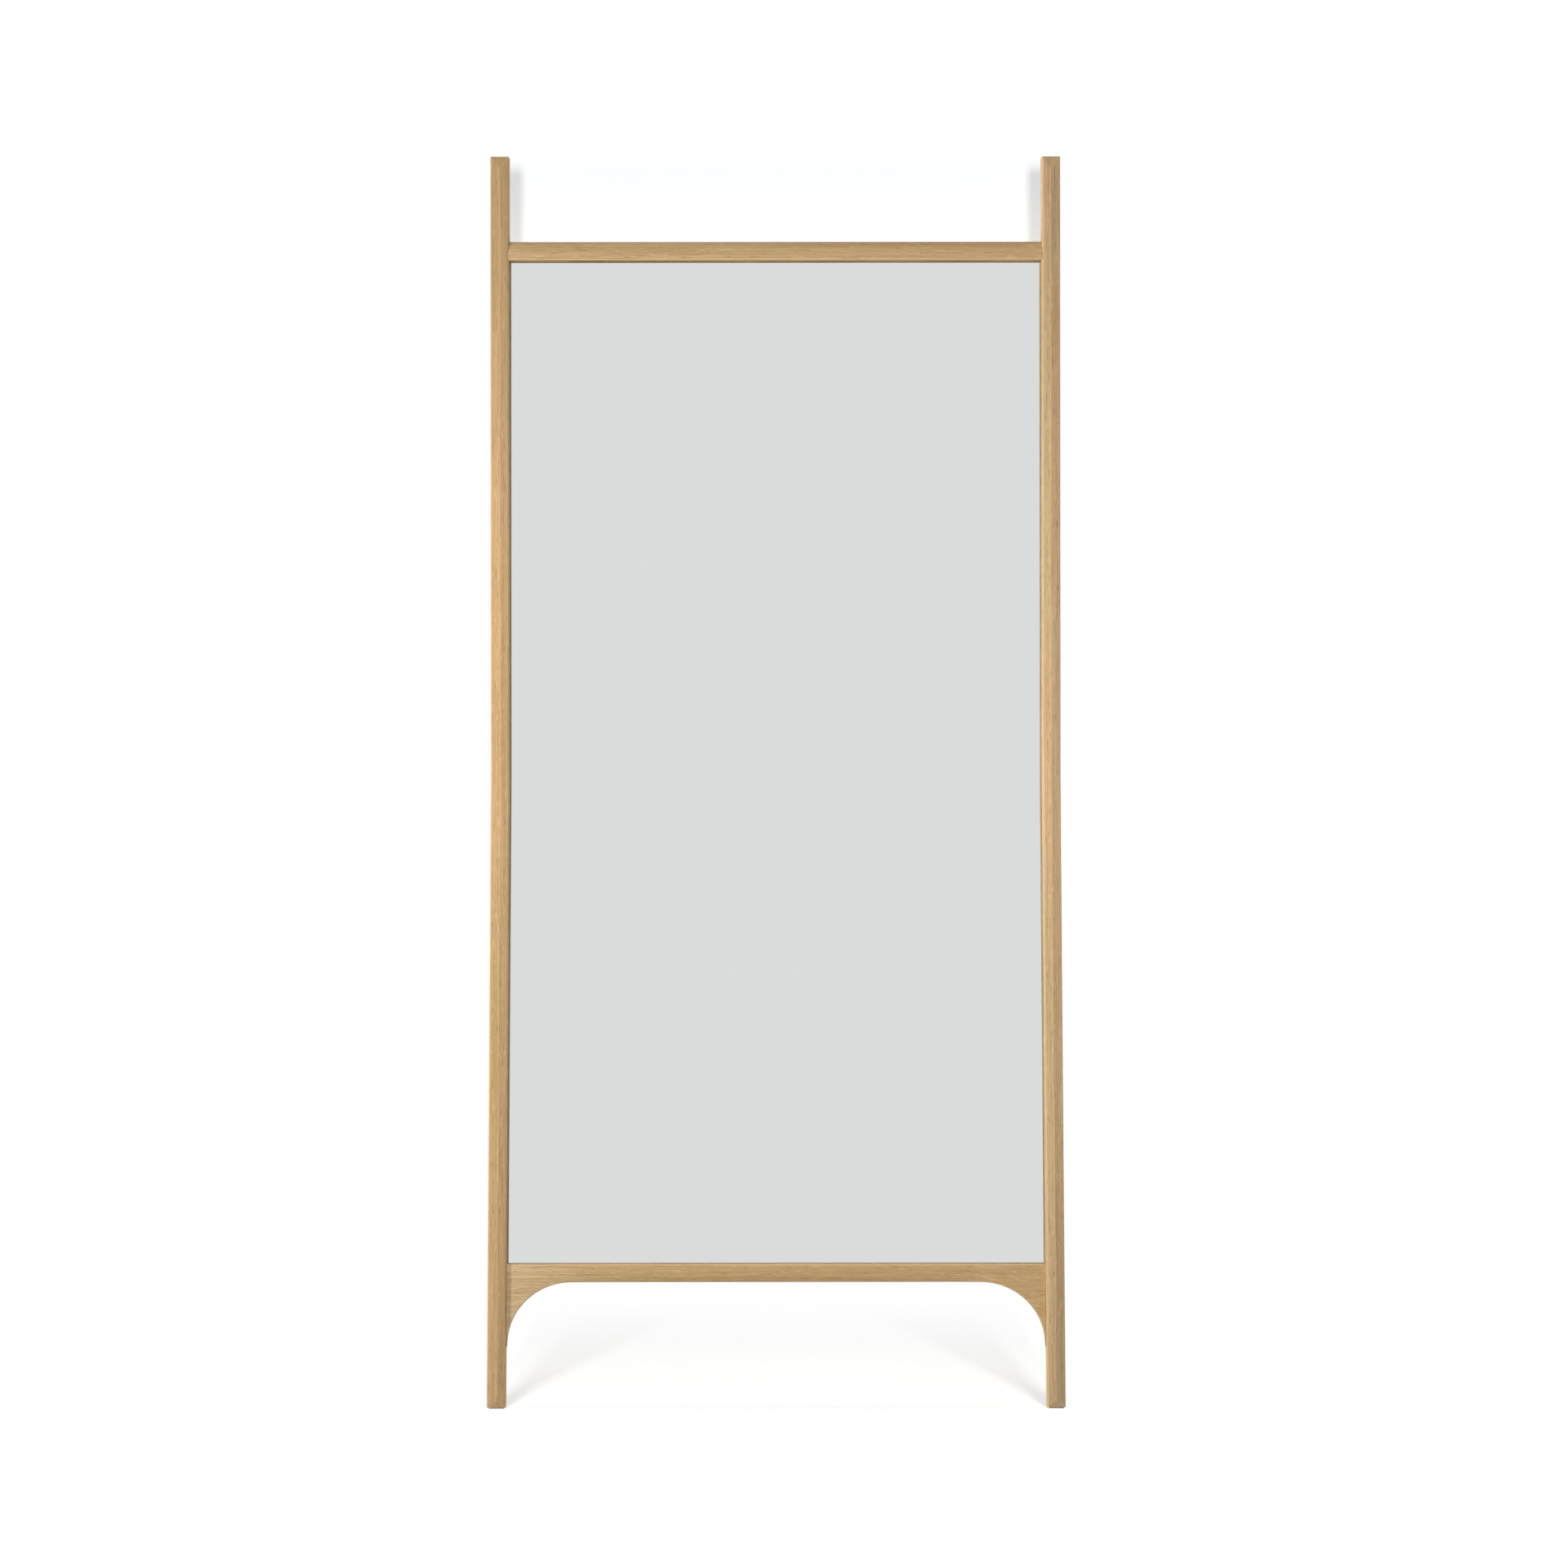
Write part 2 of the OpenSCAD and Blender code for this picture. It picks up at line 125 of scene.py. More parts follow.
class Socket:
    """A node's output that takes part in Python arithmetic, each operator adding a Math node."""

    def __init__(self, graph: "Graph", socket: bpy.types.NodeSocket) -> None:
        """Keeps the socket and the graph that it belongs to."""
        self.graph = graph
        self.socket = socket

    def math(self, operation: str, *values: "Value") -> "Socket":
        """Adds a Math node.

        Args:
            operation: the Math node's operation.
            values: its inputs in order.

        Returns:
            The node's result.
        """
        inputs = dict(enumerate(values))
        return self.graph.add("ShaderNodeMath", {"operation": operation}, inputs)

    __add__, __radd__ = operator("ADD"), operator("ADD", swapped=True)
    __sub__, __rsub__ = operator("SUBTRACT"), operator("SUBTRACT", swapped=True)
    __mul__, __rmul__ = operator("MULTIPLY"), operator("MULTIPLY", swapped=True)
    __truediv__, __pow__ = operator("DIVIDE"), operator("POWER")

    def step(self, low: float, high: float, start: float = 0.0, end: float = 1.0) -> "Socket":
        """Goes smoothly from start to end as the value goes from low to high.

        Args:
            low: the value where it starts to change.
            high: the value where it has changed.
            start: the result below low.
            end: the result above high.

        Returns:
            The result between start and end.
        """
        names = {"From Min": low, "From Max": high, "To Min": start, "To Max": end}
        settings = {"interpolation_type": "SMOOTHSTEP"}
        return self.graph.add("ShaderNodeMapRange", settings, {"Value": self, **names})

    def fall(self, low: float, high: float) -> "Socket":
        """Goes smoothly from 1 to 0 as the value goes from low to high."""
        return self.step(low, high, 1.0, 0.0)


Value = Union[Socket, float, Sequence[float]]


class Graph:
    """A node tree being written."""

    def __init__(self, tree: bpy.types.NodeTree) -> None:
        """Empties the tree and keeps it."""
        self.tree = tree
        self.tree.nodes.clear()

    def add(
        self,
        kind: str,
        settings: Optional[dict[str, object]] = None,
        values: Optional[dict[Union[str, int], object]] = None,
        output: Union[str, int] = 0,
    ) -> Socket:
        """Adds any node.

        Args:
            kind: the node's type.
            settings: its properties, which are set first.
            values: the values or links of its inputs, by name or number.
            output: the name or number of the output that is wanted.

        Returns:
            That output.
        """
        node = self.tree.nodes.new(kind)
        for name, value in (settings or {}).items():
            setattr(node, name, value)
        for name, value in (values or {}).items():
            self.feed(node.inputs[name], value)
        return Socket(self, node.outputs[output])

    def part(self, vector: Socket, axis: str) -> Socket:
        """A vector's length along one axis."""
        return self.add("ShaderNodeSeparateXYZ", None, {0: vector}, axis)

    def end(self, kind: str, value: Socket) -> None:
        """Closes the tree with an output node, whose first socket takes value."""
        self.feed(self.tree.nodes.new(kind).inputs[0], value)

    def feed(self, target: bpy.types.NodeSocket, value: object) -> None:
        """Links a socket to target, or sets target's own value.

        Args:
            target: the input.
            value: a socket, or the value itself.
        """
        if isinstance(value, Socket):
            self.tree.links.new(value.socket, target)
        else:
            target.default_value = value


class Shader(Graph):
    """A material's node tree."""

    def __init__(self, name: str) -> None:
        """Starts the material's tree and its surface position."""
        self.material = bpy.data.materials.new(name)
        self.material.use_nodes = True
        super().__init__(self.material.node_tree)
        self.place = self.add("ShaderNodeTexCoord", output="Object")

    def moved(self, turn: Point, shift: Point) -> Socket:
        """The surface position, turned and then shifted."""
        values = {"Vector": self.place, "Rotation": turn, "Location": shift}
        return self.add("ShaderNodeMapping", None, values)

    def scaled(self, place: Socket, scale: Point) -> Socket:
        """A position scaled along each axis."""
        return self.add("ShaderNodeVectorMath", {"operation": "MULTIPLY"}, {0: place, 1: scale})

    def noise(self, place: Socket, scale: float = 1.0, detail: float = 2.0, warp: float = 0.0) -> Socket:
        """Perlin noise from 0 to 1.

        Args:
            place: where it is read.
            scale: features per metre.
            detail: how many finer layers it has.
            warp: its distortion.

        Returns:
            The noise.
        """
        values = {"Vector": place, "Scale": scale, "Detail": detail, "Distortion": warp}
        return self.add("ShaderNodeTexNoise", None, values)

    def streaks(self, place: Socket, kind: "Streaks") -> Socket:
        """The noise of one kind of streak."""
        spot = self.scaled(place, (kind.across, kind.across, kind.along))
        return self.noise(spot, 1.0, kind.layers, kind.warp)

    def mixed(self, factor: Value, first: object, second: object, blend: str = "MIX") -> Socket:
        """Mixes two colours.

        Args:
            factor: how much of the second there is.
            first: the first colour.
            second: the second colour.
            blend: the way of mixing.

        Returns:
            The mixed colour.
        """
        settings = {"data_type": "RGBA", "blend_type": blend}
        values = {"Factor": factor}
        mix = self.add("ShaderNodeMix", settings, values, "Result")
        node = mix.socket.node
        colours = [socket for socket in node.inputs if socket.type == "RGBA"]
        self.feed(colours[0], first)
        self.feed(colours[1], second)
        return Socket(self, next(socket for socket in node.outputs if socket.type == "RGBA"))

    def attribute(self, name: str) -> Socket:
        """A number that is stored on the mesh."""
        return self.add("ShaderNodeAttribute", {"attribute_name": name}, None, "Fac")

    def bump(self, height: Socket, depth: float, strength: float) -> Socket:
        """A normal bent by a height from 0 to 1 that stands for a depth in metres."""
        values = {"Height": height, "Distance": depth, "Strength": strength}
        return self.add("ShaderNodeBump", None, values)

    def surface(self, **values: object) -> bpy.types.Material:
        """Closes the material with a Principled shader.

        Args:
            values: its sockets, with underscores for spaces.

        Returns:
            The finished material.
        """
        named = {name.replace("_", " "): value for name, value in values.items()}
        return self.close(self.add("ShaderNodeBsdfPrincipled", None, named))

    def close(self, shader: Socket) -> bpy.types.Material:
        """Links a shader to the material's output and returns the material."""
        self.end("ShaderNodeOutputMaterial", shader)
        return self.material


# ------------------------------------------------------------------------------------ finishes


@dataclass(frozen=True)
class Streaks:
    """Noise drawn out along the grain.

    It has so many features per metre across and along the grain, in so many layers. It shows
    where it goes from low to high, by some amount.
    """

    across: float
    along: float
    layers: float = 1.0
    low: float = 0.3
    high: float = 0.7
    amount: float = 1.0
    warp: float = 0.0

    def shown(self, noise: Socket) -> Socket:
        """The part of the noise that shows, from 0 to 1."""
        return noise.step(self.low, self.high)


class Grain(Enum):
    """Which way the fibres of a piece run, as the turn that brings them upright."""

    UPRIGHT = (0.0, 0.0, 0.0)
    LEVEL = (0.0, -QUARTER_TURN, 0.0)


@dataclass(frozen=True)
class Oak:
    """Pale oak under a matt oil, cut from a place in the log that sets its figure.

    The pith is how far the heart of the tree lies from the piece, to its side and behind it.
    """

    name: str
    grain: Grain
    cut: Point
    pith: tuple[float, float]
    ring: float = 0.0026
    taper: float = 0.006
    figure: float = 0.55
    swell: Point = (0.0, 1.0, 0.0)
    # painted light: paler patches along the piece, each a place, a reach and a height, that brighten it where
    # more light is meant to fall
    sapwood: tuple[Point, ...] = ()
    light: Colour = colour(222, 188, 137)
    dark: Colour = colour(174, 138, 92)
    rosy: Colour = colour(224, 180, 136)
    olive: Colour = colour(200, 172, 118)
    pore: Colour = colour(122, 92, 56)
    knot: Colour = colour(92, 64, 38)
    # pale colour for the medullary rays, for edges rubbed by wear, for the painted highlight on the ridge and
    # for the painted light patches
    rubbed: Colour = colour(242, 212, 168)
    end: Colour = colour(166, 136, 94)

    WANDER, RIPPLE, SWAY = Streaks(9.0, 1.6), Streaks(60.0, 7.0, 2.0), Streaks(9.0, 5.5, 2.0)
    SIDE_WANDER, BACK_RIPPLE, RING_WANDER, SIDE_SWAY = 0.016, 0.0022, 0.004, 0.016
    EARLY_RISE, EARLY_FALL = (0.0, 0.16), (0.34, 0.62)
    UNEVEN = Streaks(130.0, 1.3)
    BAND = Streaks(150.0, 2.6, 2.0, 0.36, 0.62, 0.42)
    STREAK = Streaks(420.0, 9.0, 3.0, 0.42, 0.64, 0.56)
    DASH = Streaks(560.0, 44.0, 1.0, 0.63, 0.70, 0.32)
    FIBRE = Streaks(1500.0, 22.0, 2.0, 0.45, 0.75, 0.13)
    PORE = Streaks(2100.0, 58.0, 1.0, 0.60, 0.68, 0.5)
    RAY = Streaks(330.0, 58.0, 1.0, 0.60, 0.70, 0.30, 0.4)
    PATCH = Streaks(26.0, 2.4, 2.0, amount=0.45)
    BLUSH = Streaks(40.0, 1.1, 1.0, 0.45, 0.8, 0.3)
    KNOT_CELLS, KNOT_RIM, KNOT_DEPTH = (62.0, 62.0, 15.0), (0.045, 0.085), 0.55
    # WEAR_DEPTH: how far edges go towards the pale colour, as wear and as a painted highlight along the ridge
    END_FACE, END_DEPTH, WEAR_DEPTH = (0.75, 0.97), 0.75, 0.5
    EARLY_LEAST, PORE_LEAST, HUMP_POWER = 0.35, 0.22, -2.0
    RELIEF, RELIEF_STRENGTH, SHEEN = 0.00018, 0.55, 0.16

    def material(self) -> bpy.types.Material:
        """Writes the shader: rings, fibres, pores, rays, flecks, pin knots, edges paled partly by wear and
        partly by a painted highlight, and patches of painted light.
        """
        s = Shader(self.name)
        log = s.moved(self.grain.value, self.cut)
        wander = s.streaks(log, self.WANDER) - 0.5
        ripple = s.streaks(log, self.RIPPLE) - 0.5
        side, behind, along = (s.part(log, axis) for axis in "XYZ")
        offset_side = side - (self.cut[0] + self.pith[0]) + wander * self.SIDE_WANDER
        offset_behind = behind - (self.cut[1] + self.pith[1]) + ripple * self.BACK_RIPPLE
        radius = (offset_side * offset_side + offset_behind * offset_behind) ** 0.5
        swelling = self._hump(along, self.swell)
        rings = (radius + along * self.taper + wander * self.RING_WANDER + swelling) / self.ring
        phase = rings.math("FRACT", rings)
        early = phase.step(*self.EARLY_RISE) * phase.fall(*self.EARLY_FALL)
        uneven = self.UNEVEN.shown(s.streaks(log, self.UNEVEN))
        early = early * (self.EARLY_LEAST + uneven * (1 - self.EARLY_LEAST))

        sway = (s.streaks(log, self.SWAY) - 0.5) * self.SIDE_SWAY
        swayed = s.add("ShaderNodeCombineXYZ", None, {"X": side + sway, "Y": behind, "Z": along})
        band, streak, dash, ray = (
            s.streaks(swayed, kind) for kind in (self.BAND, self.STREAK, self.DASH, self.RAY)
        )
        fibre, pores, patch, blush = (
            s.streaks(log, kind) for kind in (self.FIBRE, self.PORE, self.PATCH, self.BLUSH)
        )
        pores = self.PORE.shown(pores) * (self.PORE_LEAST + early * (1 - self.PORE_LEAST))
        ray = self.RAY.shown(ray)
        cells = s.add("ShaderNodeTexVoronoi", None, {"Vector": s.scaled(log, self.KNOT_CELLS)}, "Distance")
        knots = cells.fall(*self.KNOT_RIM)
        wear = s.attribute("wear")
        end = s.attribute("end_grain").step(*self.END_FACE)

        shade = s.mixed(self.PATCH.shown(patch), self.olive, self.rosy)
        shade = s.mixed(self.PATCH.amount, self.light, shade)
        # painted light: paler patches laid over the piece where more light is meant to fall
        for light_patch in self.sapwood:
            shade = s.mixed(self._hump(along, light_patch), shade, self.rubbed)
        for factor, tint in (
            (early * self.figure, self.dark),
            (self.BAND.shown(band) * (self.figure * self.BAND.amount), self.dark),
            (self.STREAK.shown(streak) * (self.figure * self.STREAK.amount), self.dark),
            (self.BLUSH.shown(blush) * self.BLUSH.amount, self.rosy),
            (self.FIBRE.shown(fibre) * self.FIBRE.amount, self.dark),
            (ray * self.RAY.amount, self.rubbed),
            (end * self.END_DEPTH, self.end),
            (self.DASH.shown(dash) * self.DASH.amount, self.pore),
            (pores * self.PORE.amount, self.pore),
            (knots * self.KNOT_DEPTH, self.knot),
            # edges pale partly by wear and partly by a painted highlight along the uprights' ridge
            (wear * self.WEAR_DEPTH, self.rubbed),
        ):
            shade = s.mixed(factor, shade, tint)

        height = 0.72 + fibre * 0.2 + ray * 0.08 - pores * 0.6 - knots * 0.3
        rough = 0.56 + streak * 0.12 + pores * 0.18 + end * 0.08 - ray * 0.06 - wear * 0.09
        normal = s.bump(height, self.RELIEF, self.RELIEF_STRENGTH)
        return s.surface(Base_Color=shade, Roughness=rough, Normal=normal, Specular_IOR_Level=self.SHEEN)

    def _hump(self, along: Socket, hump: Point) -> Socket:
        """A smooth hump along the piece, given by its place, its reach and its height.

        Args:
            along: the place along the piece.
            hump: where it is, how far it reaches and how high it is.

        Returns:
            The height.
        """
        place, reach, height = hump
        off = (along - (self.cut[2] + place)) / reach
        return (off * off + 1.0) ** self.HUMP_POWER * height


@dataclass(frozen=True)
class SilveredGlass:
    """A float-glass mirror, with a haze and a greyness that hardly change over the pane."""

    name: str = "silvered_glass_finish"
    silver: Colour = colour(218, 221, 220)
    grey: Colour = colour(216, 219, 218)
    haze: float = 0.012

    CLOUDS, RELIEF, RELIEF_STRENGTH = 2.2, 0.00002, 0.05
    WIPE = Streaks(26.0, 5.0, 2.0, 0.45, 0.8, 0.012)

    def material(self) -> bpy.types.Material:
        """Writes the shader."""
        s = Shader(self.name)
        cloud = s.noise(s.place, self.CLOUDS)
        wipe = self.WIPE.shown(s.streaks(s.place, self.WIPE))
        shade = s.mixed(cloud, self.silver, self.grey)
        rough = self.haze + wipe * self.WIPE.amount
        normal = s.bump(cloud, self.RELIEF, self.RELIEF_STRENGTH)
        return s.surface(Base_Color=shade, Metallic=1.0, Roughness=rough, Normal=normal)


@dataclass(frozen=True)
class Metal:
    """Plated or bare steel with fine lines, dull spots and rubbed edges."""

    name: str
    bright: Colour
    dull: Colour
    roughness: float = 0.3
    lines: Point = (160.0, 160.0, 2200.0)
    rubbed: Colour = colour(235, 232, 224)

    CLOUDS, SPOTS, SPOT_RIM = 130.0, 900.0, (0.66, 0.74)
    RELIEF, RELIEF_STRENGTH = 0.00003, 0.4

    def material(self) -> bpy.types.Material:
        """Writes the shader."""
        s = Shader(self.name)
        brushed = s.noise(s.scaled(s.place, self.lines))
        cloud = s.noise(s.place, self.CLOUDS, 3.0)
        spots = s.noise(s.place, self.SPOTS, 1.0).step(*self.SPOT_RIM)
        wear = s.attribute("wear")
        shade = s.mixed(cloud.step(0.35, 0.7), self.bright, self.dull)
        shade = s.mixed(spots * 0.35, shade, self.dull)
        shade = s.mixed(wear * 0.4, shade, self.rubbed)
        rough = self.roughness + brushed * 0.12 + cloud * 0.1 + spots * 0.15 - wear * 0.1
        normal = s.bump(brushed, self.RELIEF, self.RELIEF_STRENGTH)
        return s.surface(Base_Color=shade, Metallic=1.0, Roughness=rough, Normal=normal)


@dataclass(frozen=True)
class Plain:
    """A moulded, foamed, woven or rolled stuff: mottled, slightly rough, paler where it is rubbed."""

    name: str
    base: Colour
    speck: Colour
    rubbed: Colour
    roughness: float = 0.6
    coarse: float = 300.0
    fine: float = 2400.0
    relief: float = 0.00006

    def material(self) -> bpy.types.Material:
        """Writes the shader."""
        s = Shader(self.name)
        mottle = s.noise(s.place, self.coarse, 3.0)
        specks = s.noise(s.place, self.fine, 2.0)
        wear = s.attribute("wear")
        shade = s.mixed(mottle.step(0.35, 0.7) * 0.6, self.base, self.speck)
        shade = s.mixed(specks.step(0.55, 0.7) * 0.4, shade, self.speck)
        shade = s.mixed(wear * 0.3, shade, self.rubbed)
        rough = self.roughness + mottle * 0.12 - wear * 0.08
        normal = s.bump(specks, self.relief, 0.5)
        return s.surface(Base_Color=shade, Roughness=rough, Normal=normal)


@dataclass(frozen=True)
class Ply:
    """A birch plywood board: peeled veneer on its faces and plies on its edges."""

    name: str = "plywood_finish"
    light: Colour = colour(226, 202, 164)
    dark: Colour = colour(196, 164, 122)
    core: Colour = colour(172, 136, 96)
    fleck: Colour = colour(150, 112, 74)
    ply: float = 0.00125

    WANDER = Streaks(6.0, 1.4, 2.0, amount=0.2)
    FIBRE = Streaks(900.0, 16.0, 2.0, 0.4, 0.75, 0.25)
    FLECK = Streaks(420.0, 90.0, 1.0, 0.7, 0.75, 0.35)
    PEEL, PEEL_WARP, PEEL_BANDS = (11.0, 3.0, 1.3), 0.7, 13.0
    RELIEF, RELIEF_STRENGTH, SHEEN = 0.00012, 0.5, 0.3

    def material(self) -> bpy.types.Material:
        """Writes the shader."""
        s = Shader(self.name)
        wander = self.WANDER.shown(s.streaks(s.place, self.WANDER))
        figure = s.noise(s.scaled(s.place, self.PEEL), warp=self.PEEL_WARP) * self.PEEL_BANDS
        bands = figure.math("FRACT", figure)
        bands = bands.step(0.0, 0.3) * bands.fall(0.5, 1.0)
        fibre = s.streaks(s.place, self.FIBRE)
        fleck = self.FLECK.shown(s.streaks(s.place, self.FLECK))
        deep = s.part(s.place, "Y") / (2 * self.ply)
        plies = deep.math("FRACT", deep).step(0.46, 0.54)
        edge = s.attribute("edge")
        wear = s.attribute("wear")
        shade = s.mixed(bands * 0.4 + wander * self.WANDER.amount, self.light, self.dark)
        shade = s.mixed(self.FIBRE.shown(fibre) * self.FIBRE.amount, shade, self.dark)
        shade = s.mixed(fleck * self.FLECK.amount, shade, self.fleck)
        shade = s.mixed(edge * plies * 0.8, shade, self.core)
        shade = s.mixed(wear * 0.3, shade, self.light)
        rough = 0.62 + fibre * 0.14 - wear * 0.06
        normal = s.bump(fibre - fleck * 0.4, self.RELIEF, self.RELIEF_STRENGTH)
        return s.surface(Base_Color=shade, Roughness=rough, Normal=normal, Specular_IOR_Level=self.SHEEN)


@dataclass(frozen=True)
class StudioPaper:
    """White studio paper, lit from within except where the object's soft shadow may fall.

    The shadow falls inside a box with soft low sides and fading high ones, so that the paper has
    no seam with the sky.
    """

    name: str
    low: Point
    high: Point
    soft: Point
    fade: Point
    glow: float
    white: Colour

    def material(self) -> bpy.types.Material:
        """Writes the shader."""
        s = Shader(self.name)
        inside: Optional[Socket] = None
        for axis, low, high, soft, fade in zip("XYZ", self.low, self.high, self.soft, self.fade):
            place = s.part(s.place, axis)
            within = place.step(low - soft, low + soft) * place.fall(high - fade, high + fade)
            inside = within if inside is None else inside * within
        mottle = s.noise(s.place, 40.0, 2.0)
        normal = s.bump(mottle, 0.0001, 0.1)
        paper = s.add("ShaderNodeBsdfDiffuse", None, {"Color": self.white, "Normal": normal})
        shine = s.add("ShaderNodeEmission", None, {"Strength": self.glow})
        lit = s.add("ShaderNodeAddShader", None, {0: paper, 1: shine})
        plain = s.add("ShaderNodeEmission", None, {"Strength": 1.0})
        front = s.add("ShaderNodeMixShader", None, {0: inside, 1: plain, 2: lit})
        behind = s.add("ShaderNodeNewGeometry", None, None, "Backfacing")
        clear = s.add("ShaderNodeBsdfTransparent")
        return s.close(s.add("ShaderNodeMixShader", None, {0: behind, 1: front, 2: clear}))


# ------------------------------------------------------------------------------ mesh handwork


def add_object(name: str, mesh: bpy.types.Mesh) -> bpy.types.Object:
    """Puts a mesh in the scene as an object at the origin.

    Args:
        name: the object's name.
        mesh: its mesh.

    Returns:
        The object.
    """
    made = bpy.data.objects.new(name, mesh)
    bpy.context.scene.collection.objects.link(made)
    return made


def remove_object(made: bpy.types.Object) -> None:
    """Takes a helper object and its mesh away.

    Args:
        made: the helper.
    """
    mesh = made.data
    bpy.data.objects.remove(made)
    if mesh.users == 0:
        bpy.data.meshes.remove(mesh)


def welded_copy(mesh: bpy.types.Mesh) -> bmesh.types.BMesh:
    """A mesh as a bmesh, with its doubled points welded.

    Args:
        mesh: the mesh, which stays as it is.

    Returns:
        The bmesh.
    """
    shape = bmesh.new()
    shape.from_mesh(mesh)
    bmesh.ops.remove_doubles(shape, verts=shape.verts, dist=WELD)
    return shape


def to_mesh(name: str, shape: bmesh.types.BMesh) -> bpy.types.Mesh:
    """Turns a bmesh into a mesh and frees it.

    Args:
        name: the mesh's name.
        shape: the bmesh.

    Returns:
        The mesh.
    """
    mesh = bpy.data.meshes.new(name)
    shape.to_mesh(mesh)
    shape.free()
    return mesh


def evaluated(made: bpy.types.Object, name: str) -> bpy.types.Mesh:
    """The plain mesh that an object's modifiers give.

    Args:
        made: the object.
        name: the mesh's name.

    Returns:
        The mesh.
    """
    made.update_tag()
    graph = bpy.context.evaluated_depsgraph_get()
    mesh = bpy.data.meshes.new_from_object(made.evaluated_get(graph))
    mesh.name = name
    return mesh


def cut_away(mesh: bpy.types.Mesh, *cutters: bpy.types.Mesh) -> bpy.types.Mesh:
    """Cuts closed meshes out of a closed mesh.

    Args:
        mesh: the mesh to cut.
        cutters: the meshes that are taken away.

    Returns:
        What is left.
    """
    name = mesh.name
    for cutter in cutters:
        work, tool = add_object("work", mesh), add_object("tool", cutter)
        cut = work.modifiers.new("cut", "BOOLEAN")
        cut.operation, cut.solver, cut.object = "DIFFERENCE", "EXACT", tool
        mesh = evaluated(work, name)
        bpy.data.objects.remove(work)
        bpy.data.objects.remove(tool)
    return mesh


def finish_edges(mesh: bpy.types.Mesh, grain: Vector = Vector((0, 0, 1)), sharp: float = 0.6) -> None:
    """Smooths the faces, marks sharp edges, and stores a mask on arrises that pales them as wear and as a
    painted highlight, and the end-grain faces.

    Args:
        mesh: the mesh, which is changed.
        grain: the direction of the fibres.
        sharp: the angle above which an edge stays sharp.
    """
    shape = welded_copy(mesh)
    bmesh.ops.dissolve_degenerate(shape, dist=WELD, edges=shape.edges)
    wear, end, edge_on = (
        layers.get(name) or layers.new(name)
        for layers, name in (
            (shape.verts.layers.float, "wear"),
            (shape.faces.layers.float, "end_grain"),
            (shape.faces.layers.float, "edge"),
        )
    )
    shape.normal_update()
    bends: dict[int, float] = {}
    for edge in shape.edges:
        if len(edge.link_faces) != 2:
            continue
        angle = edge.calc_face_angle_signed(0.0)
        edge.smooth = abs(angle) < sharp
        first, second = (face.calc_center_median() for face in edge.link_faces)
        middle = (edge.verts[0].co + edge.verts[1].co) / 2
        run = (edge.verts[1].co - edge.verts[0].co).normalized()
        reach = sum((spot - middle).cross(run).length for spot in (first, second))
        bend = max(angle, 0.0) / max(reach, SHORT_REACH)
        for vert in edge.verts:
            bends[vert.index] = max(bends.get(vert.index, 0.0), bend)
    # the bend mask pales edges as wear, and on the oak ridge it also paints a highlight
    for vert in shape.verts:
        vert[wear] = min(bends.get(vert.index, 0.0) / FULL_WEAR_AND_HIGHLIGHT_BEND, 1.0)
    for face in shape.faces:
        face.smooth = True
        face[end] = abs(face.normal.dot(grain))
        face[edge_on] = 1.0 - abs(face.normal.y)
    shape.to_mesh(mesh)
    shape.free()


def stand_in(
    name: str, mesh: bpy.types.Mesh, body: str, nodes: Sequence[str], coat: bpy.types.Material
) -> bpy.types.Object:
    """Makes a finished mesh the piece that stands for some CAD nodes.

    Args:
        name: the piece's name.
        mesh: its mesh, in place.
        body: the CAD body that it rides on.
        nodes: the CAD nodes that it replaces.
        coat: its material.

    Returns:
        The piece.
    """
    mesh.name = name
    mesh.materials.clear()
    mesh.materials.append(coat)
    piece = add_object(name, mesh)
    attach(piece, body)
    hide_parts(*nodes)
    LOG.info("%s: %d faces on %s", name, len(mesh.polygons), body)
    return piece


def coat_node(node: str, coat: bpy.types.Material) -> None:
    """Gives a CAD node that stays as it is a finish.

    Args:
        node: the CAD node.
        coat: its material.
    """
    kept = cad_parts[node]
    if not kept.material_slots:
        kept.data.materials.append(coat)
    for held in kept.material_slots:
        held.material = coat
    LOG.info("%s: CAD shape kept", node)


def ease_arrises(
    shape: bmesh.types.BMesh, arrises: Sequence[bmesh.types.BMEdge], width: float, strips: int
) -> None:
    """Rounds some of a shape's edges, over a width, in so many strips."""
    bmesh.ops.bevel(
        shape, geom=arrises, offset=width, segments=strips, profile=0.5, affect="EDGES", clamp_overlap=True
    )


def skin(name: str, loops: Sequence[Sequence[Point]]) -> bpy.types.Mesh:
    """Covers a row of loops that have as many points each.

    Args:
        name: the mesh's name.
        loops: the loops in order.

    Returns:
        The closed mesh, with a face over the first loop and the last.
    """
    shape = bmesh.new()
    rings = [[shape.verts.new(spot) for spot in loop] for loop in loops]
    shape.faces.new(rings[0])
    shape.faces.new(rings[-1][::-1])
    for before, after in zip(rings, rings[1:]):
        for index in range(len(before)):
            onward = (index + 1) % len(before)
            shape.faces.new((before[index], after[index], after[onward], before[onward]))
    bmesh.ops.remove_doubles(shape, verts=shape.verts, dist=WELD)
    bmesh.ops.recalc_face_normals(shape, faces=shape.faces)
    return to_mesh(name, shape)


